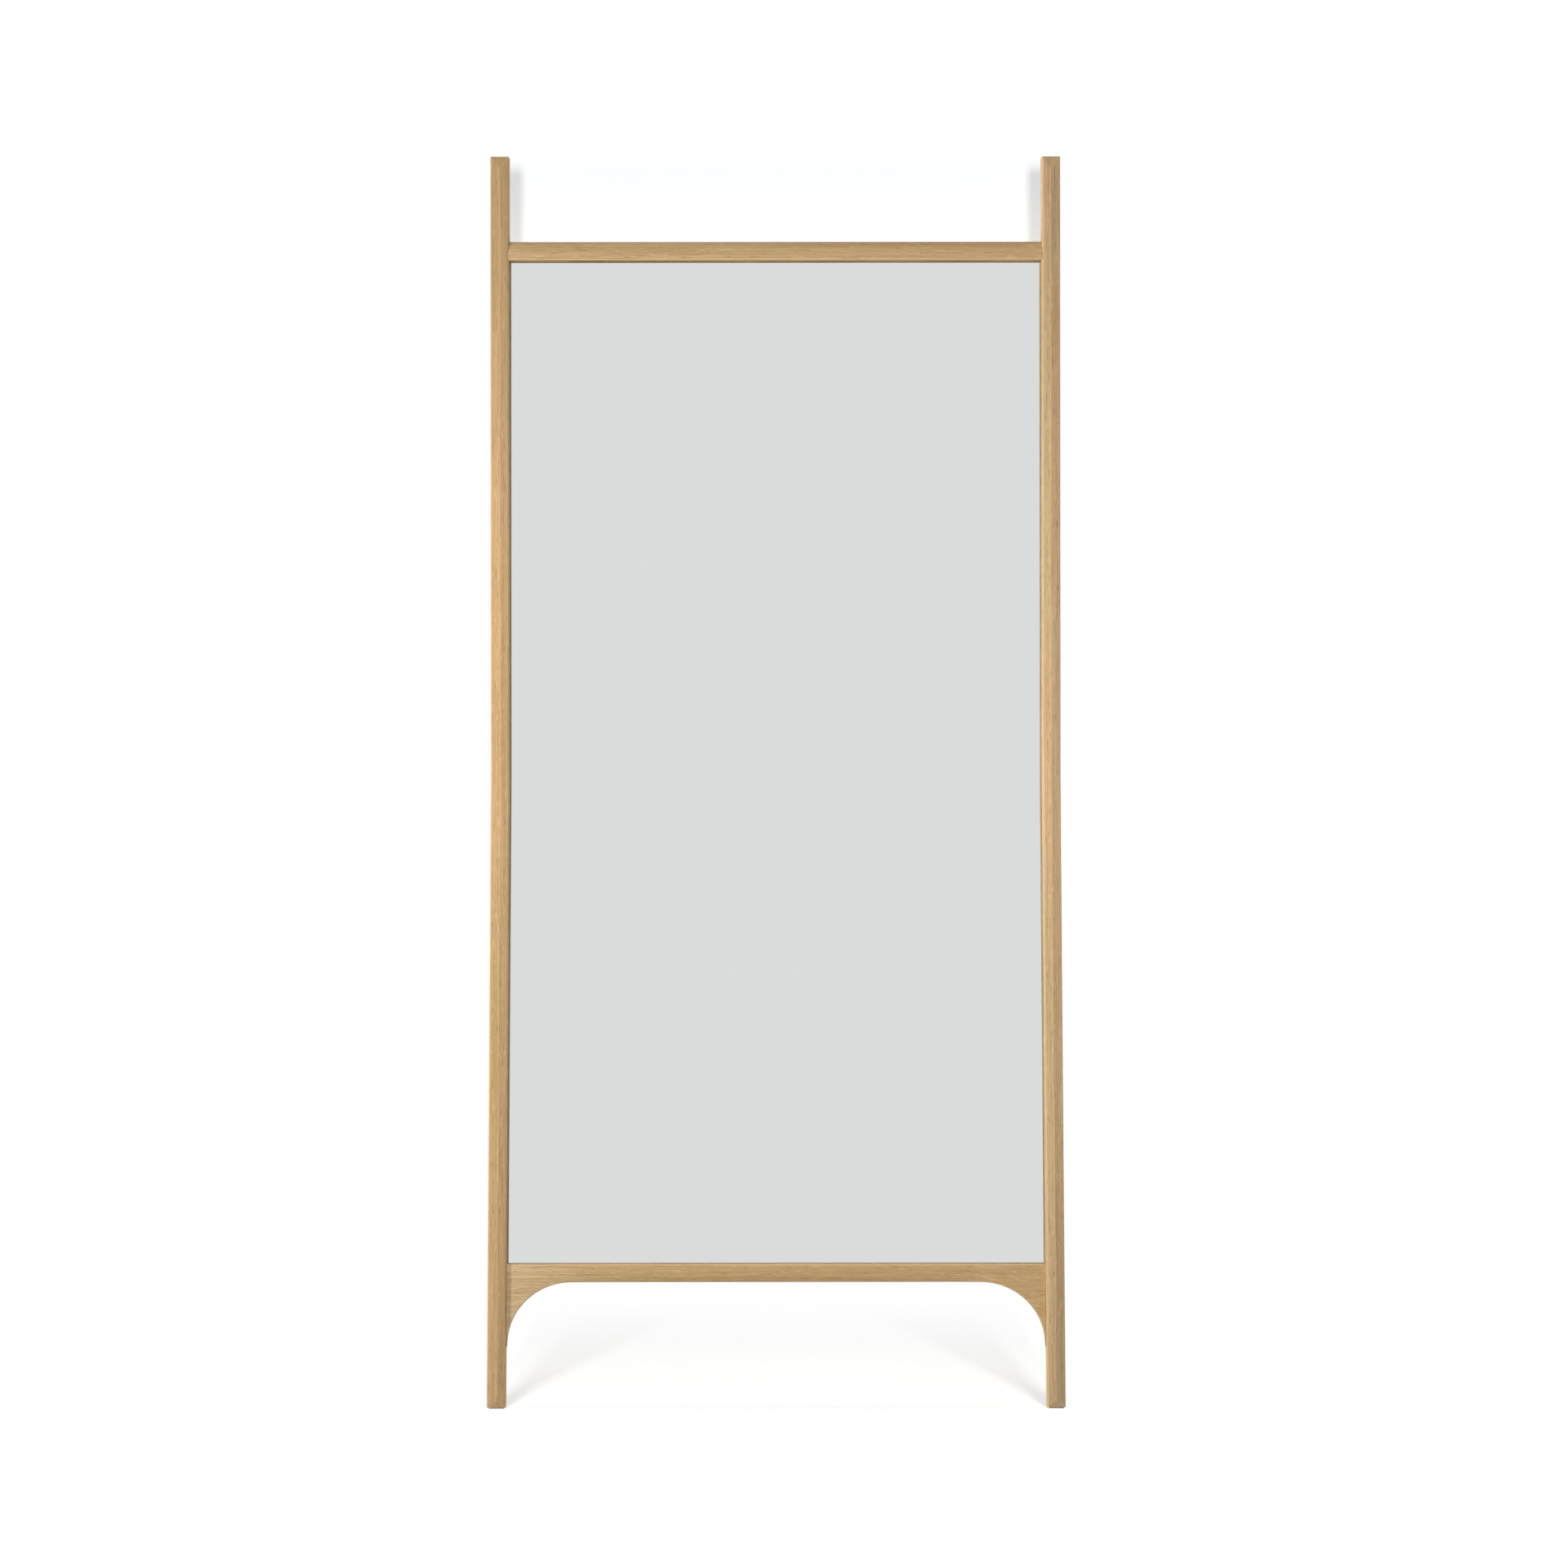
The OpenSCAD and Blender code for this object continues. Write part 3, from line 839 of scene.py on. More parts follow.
def eased_copy(node: str, width: float, segments: int = 2, sharp: float = 0.5) -> bpy.types.Mesh:
    """A copy of a CAD node's mesh with its arrises eased.

    Args:
        node: the CAD node.
        width: how far the easing goes in from each edge.
        segments: how many strips it has.
        sharp: the angle above which an edge is eased.

    Returns:
        The mesh.
    """
    shape = welded_copy(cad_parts[node].data)
    bmesh.ops.dissolve_limit(shape, angle_limit=NEAR_FLAT, verts=shape.verts, edges=shape.edges)
    hard = [e for e in shape.edges if len(e.link_faces) == 2 and e.calc_face_angle(0.0) > sharp]
    ease_arrises(shape, hard, width, segments)
    mesh = to_mesh(node + "_eased", shape)
    finish_edges(mesh)
    return mesh


# ------------------------------------------------------------------------- sections and sweeps


@dataclass(frozen=True)
class Corner:
    """A corner of a section, and the radius that rounds it."""

    across: float
    deep: float
    radius: float = 0.0


def rounded_outline(corners: Sequence[Corner], spacing: float, turn: float) -> list[Vector]:
    """Draws a closed section with its corners rounded.

    Args:
        corners: its corners in order.
        spacing: the longest step along a straight side.
        turn: the largest turn between two points of an arc, in radians.

    Returns:
        The section's points, counter-clockwise.
    """
    drawn: list[Vector] = []
    spots = [Vector((corner.across, corner.deep)) for corner in corners]
    for index, corner in enumerate(corners):
        here = spots[index]
        if corner.radius == 0.0:
            drawn.append(here)
            continue
        back = (spots[index - 1] - here).normalized()
        onward = (spots[(index + 1) % len(spots)] - here).normalized()
        half = back.angle(onward) / 2
        reach = corner.radius / math.tan(half)
        centre = here + (back + onward).normalized() * (corner.radius / math.sin(half))
        arm = here + back * reach - centre
        sweep = HALF_TURN - 2 * half
        spin = 1.0 if (-back).cross(onward) > 0 else -1.0
        steps = max(2, math.ceil(sweep / turn))
        for step in range(steps + 1):
            drawn.append(centre + Matrix.Rotation(spin * sweep * step / steps, 2) @ arm)
    dense: list[Vector] = []
    for index, here in enumerate(drawn):
        onward = drawn[(index + 1) % len(drawn)]
        parts = max(1, math.ceil((onward - here).length / spacing))
        dense += [here.lerp(onward, part / parts) for part in range(parts)]
    area = sum(here.cross(dense[(index + 1) % len(dense)]) for index, here in enumerate(dense))
    return dense if area > 0 else dense[::-1]


def section_object(outline: Sequence[Vector]) -> bpy.types.Object:
    """A section as a ring of edges that know which way is outwards.

    Args:
        outline: the section's points, counter-clockwise.

    Returns:
        The ring, as an object.
    """
    count = len(outline)
    ring = [(index, (index + 1) % count) for index in range(count)]
    mesh = bpy.data.meshes.new("section")
    mesh.from_pydata([(spot.x, spot.y, 0.0) for spot in outline], ring, [])
    outward = mesh.attributes.new("outward", "FLOAT_VECTOR", "POINT")
    for index, spot in enumerate(outline):
        before = (spot - outline[index - 1]).normalized()
        after = (outline[(index + 1) % count] - spot).normalized()
        along = (before + after).normalized()
        outward.data[index].vector = (along.y, -along.x, 0.0)
    return add_object("section", mesh)


@dataclass
class MemberShape:
    """What makes a swept wooden member more than its section: splay, hipped ends and eased ends."""

    foot: float
    top: float
    splay: float = 0.0
    knee: float = 0.0
    ridge: float = 0.0
    foot_hip: float = -1000.0
    foot_slope: float = 1.0
    top_hip: float = 1000.0
    top_slope: float = 1.0
    ease: float = 0.0011
    grow: float = 0.0


def start_tree(name: str, inputs: dict[str, str], output: str) -> tuple[Graph, dict[str, Socket]]:
    """Starts a Geometry Nodes tree.

    Args:
        name: the tree's name.
        inputs: the kind of each input, by name.
        output: the name of the geometry that it gives.

    Returns:
        The tree, and its inputs by name.
    """
    tree = bpy.data.node_groups.new(name, "GeometryNodeTree")
    for label, kind in inputs.items():
        tree.interface.new_socket(label, in_out="INPUT", socket_type="NodeSocket" + kind)
    tree.interface.new_socket(output, in_out="OUTPUT", socket_type="NodeSocketGeometry")
    graph = Graph(tree)
    given = tree.nodes.new("NodeGroupInput")
    return graph, {socket.name: Socket(graph, socket) for socket in given.outputs if socket.name}


def end_tree(graph: Graph, shape: Socket, finish: Socket) -> None:
    """Ends a Geometry Nodes tree: real geometry with one material.

    Args:
        graph: the tree.
        shape: its geometry.
        finish: the material.
    """
    plain = graph.add("GeometryNodeRealizeInstances", None, {"Geometry": shape})
    coated = graph.add("GeometryNodeSetMaterial", None, {"Geometry": plain, "Material": finish})
    graph.end("NodeGroupOutput", coated)


class MemberSweep:
    """The Geometry Nodes tree that sweeps a section up a path and shapes the member's ends."""

    SOFTNESS = 0.0004

    def __init__(self) -> None:
        """Writes the tree."""
        kinds = {"Path": "Geometry", "Section": "Object", "Finish": "Material"}
        kinds.update({size.name: "Float" for size in fields(MemberShape)})
        g, take = start_tree("member_sweep", kinds, "Member")
        self.tree = g.tree
        rail = g.add("GeometryNodeMeshToCurve", None, {"Mesh": take["Path"]})
        section = g.add("GeometryNodeObjectInfo", None, {"Object": take["Section"]}, "Geometry")
        outline = g.add("GeometryNodeMeshToCurve", None, {"Mesh": section})
        swept = g.add(
            "GeometryNodeCurveToMesh", None, {"Curve": rail, "Profile Curve": outline, "Fill Caps": True}
        )
        place = g.add("GeometryNodeInputPosition")
        across, deep, height = (g.part(place, axis) for axis in "XYZ")
        outward = g.add("GeometryNodeInputNamedAttribute", {"data_type": "FLOAT_VECTOR"}, {"Name": "outward"})
        from_top = take["top"] - height
        from_foot = height - take["foot"]
        near = from_top.math("MINIMUM", from_top, from_foot)
        near = near.math("MINIMUM", near, take["ease"])
        lost = take["ease"] - near
        arc = take["ease"] * take["ease"] - lost * lost
        inset = take["ease"] - arc.math("MAXIMUM", arc, 0.0) ** 0.5
        away = {"Vector": outward, "Scale": take["grow"] - inset}
        eased = g.add("ShaderNodeVectorMath", {"operation": "SCALE"}, away)
        swept = g.add("GeometryNodeSetPosition", None, {"Geometry": swept, "Offset": eased})
        below = take["knee"] - height
        lean = below.math("MAXIMUM", below, 0.0) * take["splay"]
        top_front = take["ridge"] - take["grow"] + (height - take["top_hip"]) * take["top_slope"]
        foot_front = take["ridge"] - take["grow"] + (take["foot_hip"] - height) * take["foot_slope"]
        deep = deep.math("SMOOTH_MAX", deep, top_front, self.SOFTNESS)
        deep = deep.math("SMOOTH_MAX", deep, foot_front, self.SOFTNESS)
        spot = g.add("ShaderNodeCombineXYZ", None, {"X": across + lean, "Y": deep, "Z": height})
        shaped = g.add("GeometryNodeSetPosition", None, {"Geometry": swept, "Position": spot})
        end_tree(g, shaped, take["Finish"])

    def draw(
        self, name: str, outline: Sequence[Vector], levels: Sequence[float],
        shape: MemberShape, coat: bpy.types.Material,
    ) -> bpy.types.Mesh:
        """Sweeps a member.

        Args:
            name: the mesh's name.
            outline: the section.
            levels: the heights at which the section is set.
            shape: what the ends do.
            coat: the finish.

        Returns:
            The member as a plain closed mesh.
        """
        path = bpy.data.meshes.new("path")
        steps = [(index, index + 1) for index in range(len(levels) - 1)]
        path.from_pydata([(0.0, 0.0, level) for level in levels], steps, [])
        work, section = add_object("path", path), section_object(outline)
        mesh = run_tree(work, self.tree, {"Section": section, "Finish": coat, **asdict(shape)}, name)
        for helper in (work, section):
            remove_object(helper)
        welded = welded_copy(mesh)
        welded.to_mesh(mesh)
        welded.free()
        return mesh


def run_tree(
    work: bpy.types.Object, tree: bpy.types.NodeTree, values: dict[str, object], name: str
) -> bpy.types.Mesh:
    """Runs a Geometry Nodes tree on an object.

    Args:
        work: the object whose mesh goes in.
        tree: the tree.
        values: its inputs by name.
        name: the result's name.

    Returns:
        The result as a plain mesh.
    """
    modifier = work.modifiers.new(tree.name, "NODES")
    modifier.node_group = tree
    for item in tree.interface.items_tree:
        if item.in_out == "INPUT" and item.name in values:
            modifier[item.identifier] = values[item.name]
    mesh = evaluated(work, name)
    work.modifiers.remove(modifier)
    return mesh


def eased_levels(
    low: float, high: float, ease: float, hips: tuple[float, float], spacing: float
) -> list[float]:
    """The heights at which a member's section is set, close together at its ends.

    Args:
        low: its foot.
        high: its top.
        ease: the radius that eases its ends.
        hips: how far the hips reach from the foot and from the top.
        spacing: the widest step.

    Returns:
        The heights, rising.
    """
    arc = [ease * (1 - math.cos(QUARTER_TURN * step / ARC_STEPS)) for step in range(ARC_STEPS + 1)]
    levels = [low + rise for rise in arc] + [high - rise for rise in arc]
    for start, reach, way in ((low, hips[0], 1.0), (high, hips[1], -1.0)):
        count = int((reach * HIP_MARGIN - ease) / HIP_STEP)
        levels += [start + way * (ease + HIP_STEP * (index + 1)) for index in range(max(count, 0))]
    inner_low = low + max(hips[0] * HIP_MARGIN, ease * 2)
    inner_high = high - max(hips[1] * HIP_MARGIN, ease * 2)
    count = math.ceil((inner_high - inner_low) / spacing)
    levels += [inner_low + (inner_high - inner_low) * index / count for index in range(count + 1)]
    return sorted({round(level, 7) for level in levels})


# ----------------------------------------------------------------------------------- the frame


@dataclass(frozen=True)
class FrameSizes:
    """The lengths that the wooden members share."""

    foot: float = 0.002
    top: float = 1.9
    outer: float = 0.4323
    inner: float = 0.4038
    knee: float = 0.95
    splay: float = 0.007
    ridge: float = -0.020
    rise: float = 0.003
    back: float = 0.016
    glass_front: float = -0.005
    ledge: float = 0.0054

    @property
    def width(self) -> float:
        """How wide an upright is."""
        return self.outer - self.inner

    @property
    def lean(self) -> float:
        """How far an upright leaves the plumb line, for each metre below the knee."""
        return self.splay / self.knee

    def inner_at(self, height: float) -> float:
        """How far an upright's inner side is from the middle at a height."""
        return self.inner + max(self.knee - height, 0.0) * self.lean


@dataclass
class Rebate:
    """The stepped recess in the back of all four members, for the glass and for the board."""

    sizes: FrameSizes
    glass_reach: float = 0.010
    board_reach: float = 0.019
    low: float = 0.2195
    high: float = 1.743
    mouth: float = 0.0006

    def cutter(self) -> bpy.types.Mesh:
        """Builds the solid that cuts the rebate: square rings from front to back, with a flared mouth."""
        s = self.sizes
        rings = (
            (s.glass_front, self.glass_reach),
            (s.ledge, self.glass_reach),
            (s.ledge, self.board_reach),
            (s.back - self.mouth, self.board_reach),
            (s.back + self.mouth, self.board_reach + 2 * self.mouth),
        )
        loops = []
        for deep, reach in rings:
            side, low, high = s.inner + reach, self.low - reach, self.high + reach
            loops.append([(-side, deep, low), (side, deep, low), (side, deep, high), (-side, deep, high)])
        return skin("rebate", loops)


@dataclass
class Uprights:
    """The two uprights: a ridged front, rounded inner arris, splayed feet and hipped ends."""

    sizes: FrameSizes
    sweep: MemberSweep
    # a tight ridge bends sharply, so the edge mask paints a strong highlight along it
    ridge_radius: float = 0.0026
    inner_radius: float = 0.005
    outer_radius: float = 0.002
    back_radius: float = 0.0015
    foot_hip: float = 0.012
    top_hip: float = 0.018
    joint_gap: float = 0.0005
    arc_turn: float = math.radians(11)
    spacing: float = 0.06

    def outline(self, side: float) -> list[Vector]:
        """The section of an upright.

        Args:
            side: -1 for the left one and 1 for the right one.

        Returns:
            The section's points.
        """
        s = self.sizes
        half = s.width / 2
        slope = math.atan(2 * s.rise / s.width)
        apex = s.ridge - self.ridge_radius * (1 / math.cos(slope) - 1)
        edge = apex + s.rise
        corners = (
            Corner(side * s.outer, edge, self.outer_radius),
            Corner(side * (s.outer - half), apex, self.ridge_radius),
            Corner(side * s.inner, edge, self.inner_radius),
            Corner(side * s.inner, s.back, self.back_radius),
            Corner(side * s.outer, s.back, self.back_radius),
        )
        return rounded_outline(corners, SIDE_STEP, self.arc_turn)

    def blank(self, side: float, coat: bpy.types.Material, grow: float = 0.0) -> bpy.types.Mesh:
        """An upright before the rebate is cut.

        Args:
            side: -1 for the left one and 1 for the right one.
            coat: its finish.
            grow: how much bigger it is all round.

        Returns:
            The upright's mesh.
        """
        s = self.sizes
        shape = MemberShape(
            foot=s.foot, top=s.top, splay=side * s.lean, knee=s.knee, ridge=s.ridge,
            foot_hip=s.foot + self.foot_hip, foot_slope=s.rise / self.foot_hip,
            top_hip=s.top - self.top_hip, top_slope=s.rise / self.top_hip, grow=grow,
        )
        levels = eased_levels(s.foot, s.top, shape.ease, (self.foot_hip, self.top_hip), self.spacing)
        levels = sorted({*levels, s.knee})
        return self.sweep.draw("upright", self.outline(side), levels, shape, coat)

    def build(self, rebate: Rebate, oaks: dict[float, Oak]) -> list[bpy.types.Object]:
        """Makes both uprights.

        Args:
            rebate: the recess that is cut in them.
            oaks: the finish for each side.

        Returns:
            The two pieces.
        """
        made = []
        for side, name in ((-1.0, "left"), (1.0, "right")):
            coat = oaks[side].material()
            mesh = cut_away(self.blank(side, coat), rebate.cutter())
            finish_edges(mesh)
            node = name + "_stile"
            made.append(stand_in(name + "_upright", mesh, "frame", [node], coat))
        return made


@dataclass
class TopRail:
    """The top rail: a crowned front, ends scribed over the uprights' rounded arrises."""

    sizes: FrameSizes
    sweep: MemberSweep
    low: float = 1.743
    height: float = 0.028
    crown: float = -0.0174
    crown_height: float = 0.008
    crown_radius: float = 0.040
    low_radius: float = 0.0025
    high_radius: float = 0.0035
    back_radius: float = 0.0015
    scribe: float = 0.005
    first_rise: float = 0.0036
    rise_step: float = 0.0012
    rise_count: int = 17
    arc_turn: float = math.radians(14)
    end_ease: float = 0.0004
    spacing: float = 0.05

    def outline(self) -> list[Vector]:
        """The section, with its height turned the way that the sweep lays it down."""
        def front(rise: float) -> float:
            """How far forward the crown stands at a height."""
            arm = rise - self.crown_height
            return self.crown + self.crown_radius - math.sqrt(self.crown_radius**2 - arm**2)

        between = [self.first_rise + index * self.rise_step for index in range(self.rise_count)]
        rises = [0.0, *between, self.height]
        corners = []
        for rise in rises:
            radius = {0.0: self.low_radius, self.height: self.high_radius}.get(rise, 0.0)
            corners.append(Corner(-(self.low + rise), front(rise), radius))
        for rise in (self.height, 0.0):
            corners.append(Corner(-(self.low + rise), self.sizes.back, self.back_radius))
        return rounded_outline(corners, SIDE_STEP, self.arc_turn)

    def build(self, rebate: Rebate, uprights: Uprights, oak: Oak) -> bpy.types.Object:
        """Makes the rail.

        Args:
            rebate: the recess that is cut in it.
            uprights: the members that its ends fit.
            oak: its finish.

        Returns:
            The piece.
        """
        coat = oak.material()
        reach = self.sizes.inner + self.scribe
        shape = MemberShape(foot=-reach, top=reach, ease=0.00001)
        levels = eased_levels(-reach, reach, self.end_ease, (0.0, 0.0), self.spacing)
        mesh = self.sweep.draw("top_rail", self.outline(), levels, shape, coat)
        mesh.transform(Matrix.Rotation(QUARTER_TURN, 4, "Y"))
        fits = [uprights.blank(side, coat, uprights.joint_gap) for side in (-1.0, 1.0)]
        mesh = cut_away(mesh, *fits, rebate.cutter())
        finish_edges(mesh, Vector((1, 0, 0)))
        return stand_in("top_rail_board", mesh, "frame", ["top_rail"], coat)


@dataclass
class Ray:
    """A line across the bottom board, from its arched edge to its far side."""

    start: Vector
    way: Vector
    reach: float


@dataclass
class BottomBoard:
    """The bottom rail with its two haunches, sawn from one board to a long low arch."""

    sizes: FrameSizes
    top: float = 0.2195
    height: float = 0.028
    haunch: float = 0.098
    tip: float = 0.0006
    front: float = -0.011
    arch_arris: float = 0.0016
    top_arris: float = 0.0026
    back_arris: float = 0.0012
    crown: float = 0.0050
    crown_height: float = 0.024
    crown_end: float = 0.345
    crown_full: float = 0.275
    crown_start: float = 0.004
    joint_gap: float = 0.0004
    side_rays: int = 30
    top_rays: int = 20
    rail_rays: int = 40
    face_steps: int = 9
    side_steps: int = 4

    def rays(self) -> list[Ray]:
        """The rays from the right tip, round the right haunch, along the rail and down the left one."""
        s = self.sizes
        tip_height = self.top - self.height - self.haunch
        side = s.inner_at(tip_height) - self.joint_gap
        centre = Vector((side - self.tip - self.haunch, tip_height))
        corner_angle = math.atan2(self.top - tip_height, s.inner_at(self.top) - self.joint_gap - centre.x)
        low, high = self.side_rays, self.top_rays
        angles = [corner_angle * step / low for step in range(low + 1)]
        angles += [corner_angle + (QUARTER_TURN - corner_angle) * (step + 1) / high for step in range(high)]
        right = []
        for angle in angles:
            way = Vector((math.cos(angle), math.sin(angle)))
            to_side = (side - centre.x) / (way.x + s.lean * way.y)
            to_top = (self.top - centre.y) / way.y if way.y > WELD else to_side + 1.0
            right.append(Ray(centre + way * self.haunch, way, min(to_side, to_top) - self.haunch))
        count = self.rail_rays
        middle = [
            Ray(Vector((centre.x * (1 - 2 * step / count), right[-1].start.y)), Vector((0, 1)), self.height)
            for step in range(1, count)
        ]
        left = [
            Ray(Vector((-ray.start.x, ray.start.y)), Vector((-ray.way.x, ray.way.y)), ray.reach)
            for ray in reversed(right)
        ]
        return right + middle + left

    def face_depth(self, spot: Vector) -> float:
        """How far the front lies behind its foremost plane at a place.

        Args:
            spot: the place, across and up.

        Returns:
            The depth of the crown and the top arris together.
        """
        blend = min(max((self.crown_end - abs(spot.x)) / (self.crown_end - self.crown_full), 0.0), 1.0)
        blend = blend * blend * (3 - 2 * blend)
        fall = min(max((self.top - self.crown_start - spot.y) / self.crown_height, 0.0), 1.0)
        edge = self.top_arris - (self.top - spot.y)
        arris = 0.0
        if edge > 0:
            arris = self.top_arris - math.sqrt(max(self.top_arris**2 - edge**2, 0.0))
        return self.crown * fall * fall * blend + arris

    def loop(self, ray: Ray) -> list[Point]:
        """The closed section of the board along a ray.

        Args:
            ray: where the section is taken.

        Returns:
            Its points, starting at the arch's front arris.
        """
        s = self.sizes
        arris = min(self.arch_arris, ray.reach * 0.8)
        rear = min(self.back_arris, ray.reach * 0.8)
        turns = [QUARTER_TURN * step / ARC_STEPS for step in range(ARC_STEPS + 1)]
        count, sides = self.face_steps, self.side_steps
        top_run = min(self.top_arris / max(ray.way.y, 0.3), ray.reach * 0.4)
        inner, outer = arris, ray.reach - top_run
        reaches = [arris * (1 - math.cos(turn)) for turn in turns]
        reaches += [inner + (outer - inner) * step / count for step in range(1, count + 1)]
        reaches += [ray.reach - top_run * (1 - math.sin(turn)) for turn in turns[1:]]
        spots: list[Point] = []
        for index, reach in enumerate(reaches):
            flat = ray.start + ray.way * reach
            round_off = arris * (1 - math.sin(turns[index])) if index < len(turns) else 0.0
            spots.append((flat.x, self.front + self.face_depth(flat) + round_off, flat.y))
        far = ray.start + ray.way * ray.reach
        near = ray.start
        last = spots[-1][1]
        behind = s.back - rear
        spots += [(far.x, last + (behind - last) * step / sides, far.y) for step in range(1, sides + 1)]
        for turn in turns[1:]:
            flat = ray.start + ray.way * (ray.reach - rear * (1 - math.cos(turn)))
            spots.append((flat.x, s.back - rear * (1 - math.sin(turn)), flat.y))
        span = ray.reach - 2 * rear
        for step in range(1, sides + 1):
            flat = ray.start + ray.way * (rear + span * (1 - step / sides))
            spots.append((flat.x, s.back, flat.y))
        for turn in turns[1:]:
            flat = ray.start + ray.way * (rear * (1 - math.sin(turn)))
            spots.append((flat.x, s.back - rear * (1 - math.cos(turn)), flat.y))
        first = spots[0][1]
        steps = range(1, sides + 1)
        return spots + [(near.x, behind + (first - behind) * step / (sides + 1), near.y) for step in steps]

    def build(self, rebate: Rebate, oak: Oak) -> bpy.types.Object:
        """Makes the board.

        Args:
            rebate: the recess that is cut in it.
            oak: its finish.

        Returns:
            The piece.
        """
        board = skin("bottom_board", [self.loop(ray) for ray in self.rays()])
        mesh = cut_away(board, rebate.cutter())
        finish_edges(mesh, Vector((1, 0, 0)))
        return stand_in("haunched_board", mesh, "frame", ["bottom_rail"], oak.material())


# ------------------------------------------------------------------------------ glass and back


@dataclass
class GlassAndBack:
    """The silvered pane with ground edges, and the plywood board that closes the back."""

    pane_ease: float = 0.0008
    board_ease: float = 0.0005
    strips: int = 3

    def build(self, glass: SilveredGlass, ply: Ply) -> list[bpy.types.Object]:
        """Makes the pane and the board, each as big as its CAD node.

        Args:
            glass: the pane's finish.
            ply: the board's finish.

        Returns:
            The two pieces.
        """
        made = []
        for node, name, slot, ease, finish in (
            ("mirror_glass", "mirror_pane", "silvered_glass", self.pane_ease, glass),
            ("back_panel", "back_board", "plywood", self.board_ease, ply),
        ):
            low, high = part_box(node)
            shape = bmesh.new()
            place = Matrix.Translation((low + high) / 2) @ Matrix.Diagonal((*(high - low), 1.0))
            bmesh.ops.create_cube(shape, size=1.0, matrix=place)
            ease_arrises(shape, list(shape.edges), ease, self.strips)
            mesh = to_mesh(name, shape)
            finish_edges(mesh)
            made.append(stand_in(name, mesh, "frame", [node], finish.material()))
        return made


# ------------------------------------------------------------------------------------ ironware


@dataclass
class ScrewShape:
    """A cross-recessed screw that points along -Y, with the top of its head at the origin."""

    head: float
    head_height: float
    shank: float
    length: float
    dome: float
    countersunk: bool
    tip: float = 0.004
    cross: float = 0.0042
    cross_width: float = 0.0009
    cross_depth: float = 0.0011
    cross_lift: float = 0.001
    cross_taper: float = 0.55
    rim: float = 0.0002
    thread: float = 0.0003
    turns: int = 7
    around: int = 24

    def profile(self) -> list[tuple[float, float]]:
        """The half outline, from the middle of the head to the point, as (radius, depth)."""
        rim, core = self.head / 2, self.shank / 2
        turns = [QUARTER_TURN * step / ARC_STEPS for step in range(ARC_STEPS + 1)]
        dome = [(rim * math.sin(turn), self.dome * (1 - math.cos(turn))) for turn in turns]
        if self.countersunk:
            neck = [(rim, self.dome + self.rim)]
        else:
            neck = [(rim, self.head_height - self.rim), (rim - self.rim, self.head_height)]
        thread = [(core, self.head_height)]
        run = (self.length - self.tip - self.head_height) / self.turns
        for turn in range(self.turns):
            depth = self.head_height + run * turn
            thread += [(core, depth + run * 0.5), (core - self.thread, depth + run * 0.8)]
        return [*dome, *neck, *thread, (core - self.thread, self.length - self.tip), (0.0, self.length)]

    def mesh(self) -> bpy.types.Mesh:
        """Turns the outline round its axis and cuts the cross in the head."""
        shape = bmesh.new()
        around = self.around
        angles = [2 * HALF_TURN * step / around for step in range(around)]
        rings: list[list[bmesh.types.BMVert]] = []
        for radius, depth in self.profile():
            ways = angles[:1] if radius < WELD else angles
            ring = [(radius * math.cos(angle), -depth, radius * math.sin(angle)) for angle in ways]
            rings.append([shape.verts.new(spot) for spot in ring])
        for before, after in zip(rings, rings[1:]):
            for step in range(around):
                onward = (step + 1) % around
                corners = (
                    before[step % len(before)], before[onward % len(before)],
                    after[onward % len(after)], after[step % len(after)],
                )
                shape.faces.new(tuple(dict.fromkeys(corners)))
        bmesh.ops.recalc_face_normals(shape, faces=shape.faces)
        mesh = cut_away(to_mesh("screw", shape), *(self._slot(turn) for turn in (0.25, 0.75)))
        finish_edges(mesh)
        return mesh

    def _slot(self, turn: float) -> bpy.types.Mesh:
        """One bar of the cross, tapering as it goes in, turned by so many half turns.

        Args:
            turn: the turn, in half turns.

        Returns:
            The bar's mesh.
        """
        loops = []
        for depth, narrow in ((-self.cross_lift, 1.0), (self.cross_depth, self.cross_taper)):
            half, wide = self.cross / 2 * narrow, self.cross_width / 2
            spots = ((-half, -wide), (half, -wide), (half, wide), (-half, wide))
            loops.append([(x, -depth, z) for x, z in spots])
        bar = skin("slot", loops)
        bar.transform(Matrix.Rotation(turn * HALF_TURN, 4, "Y"))
        return bar


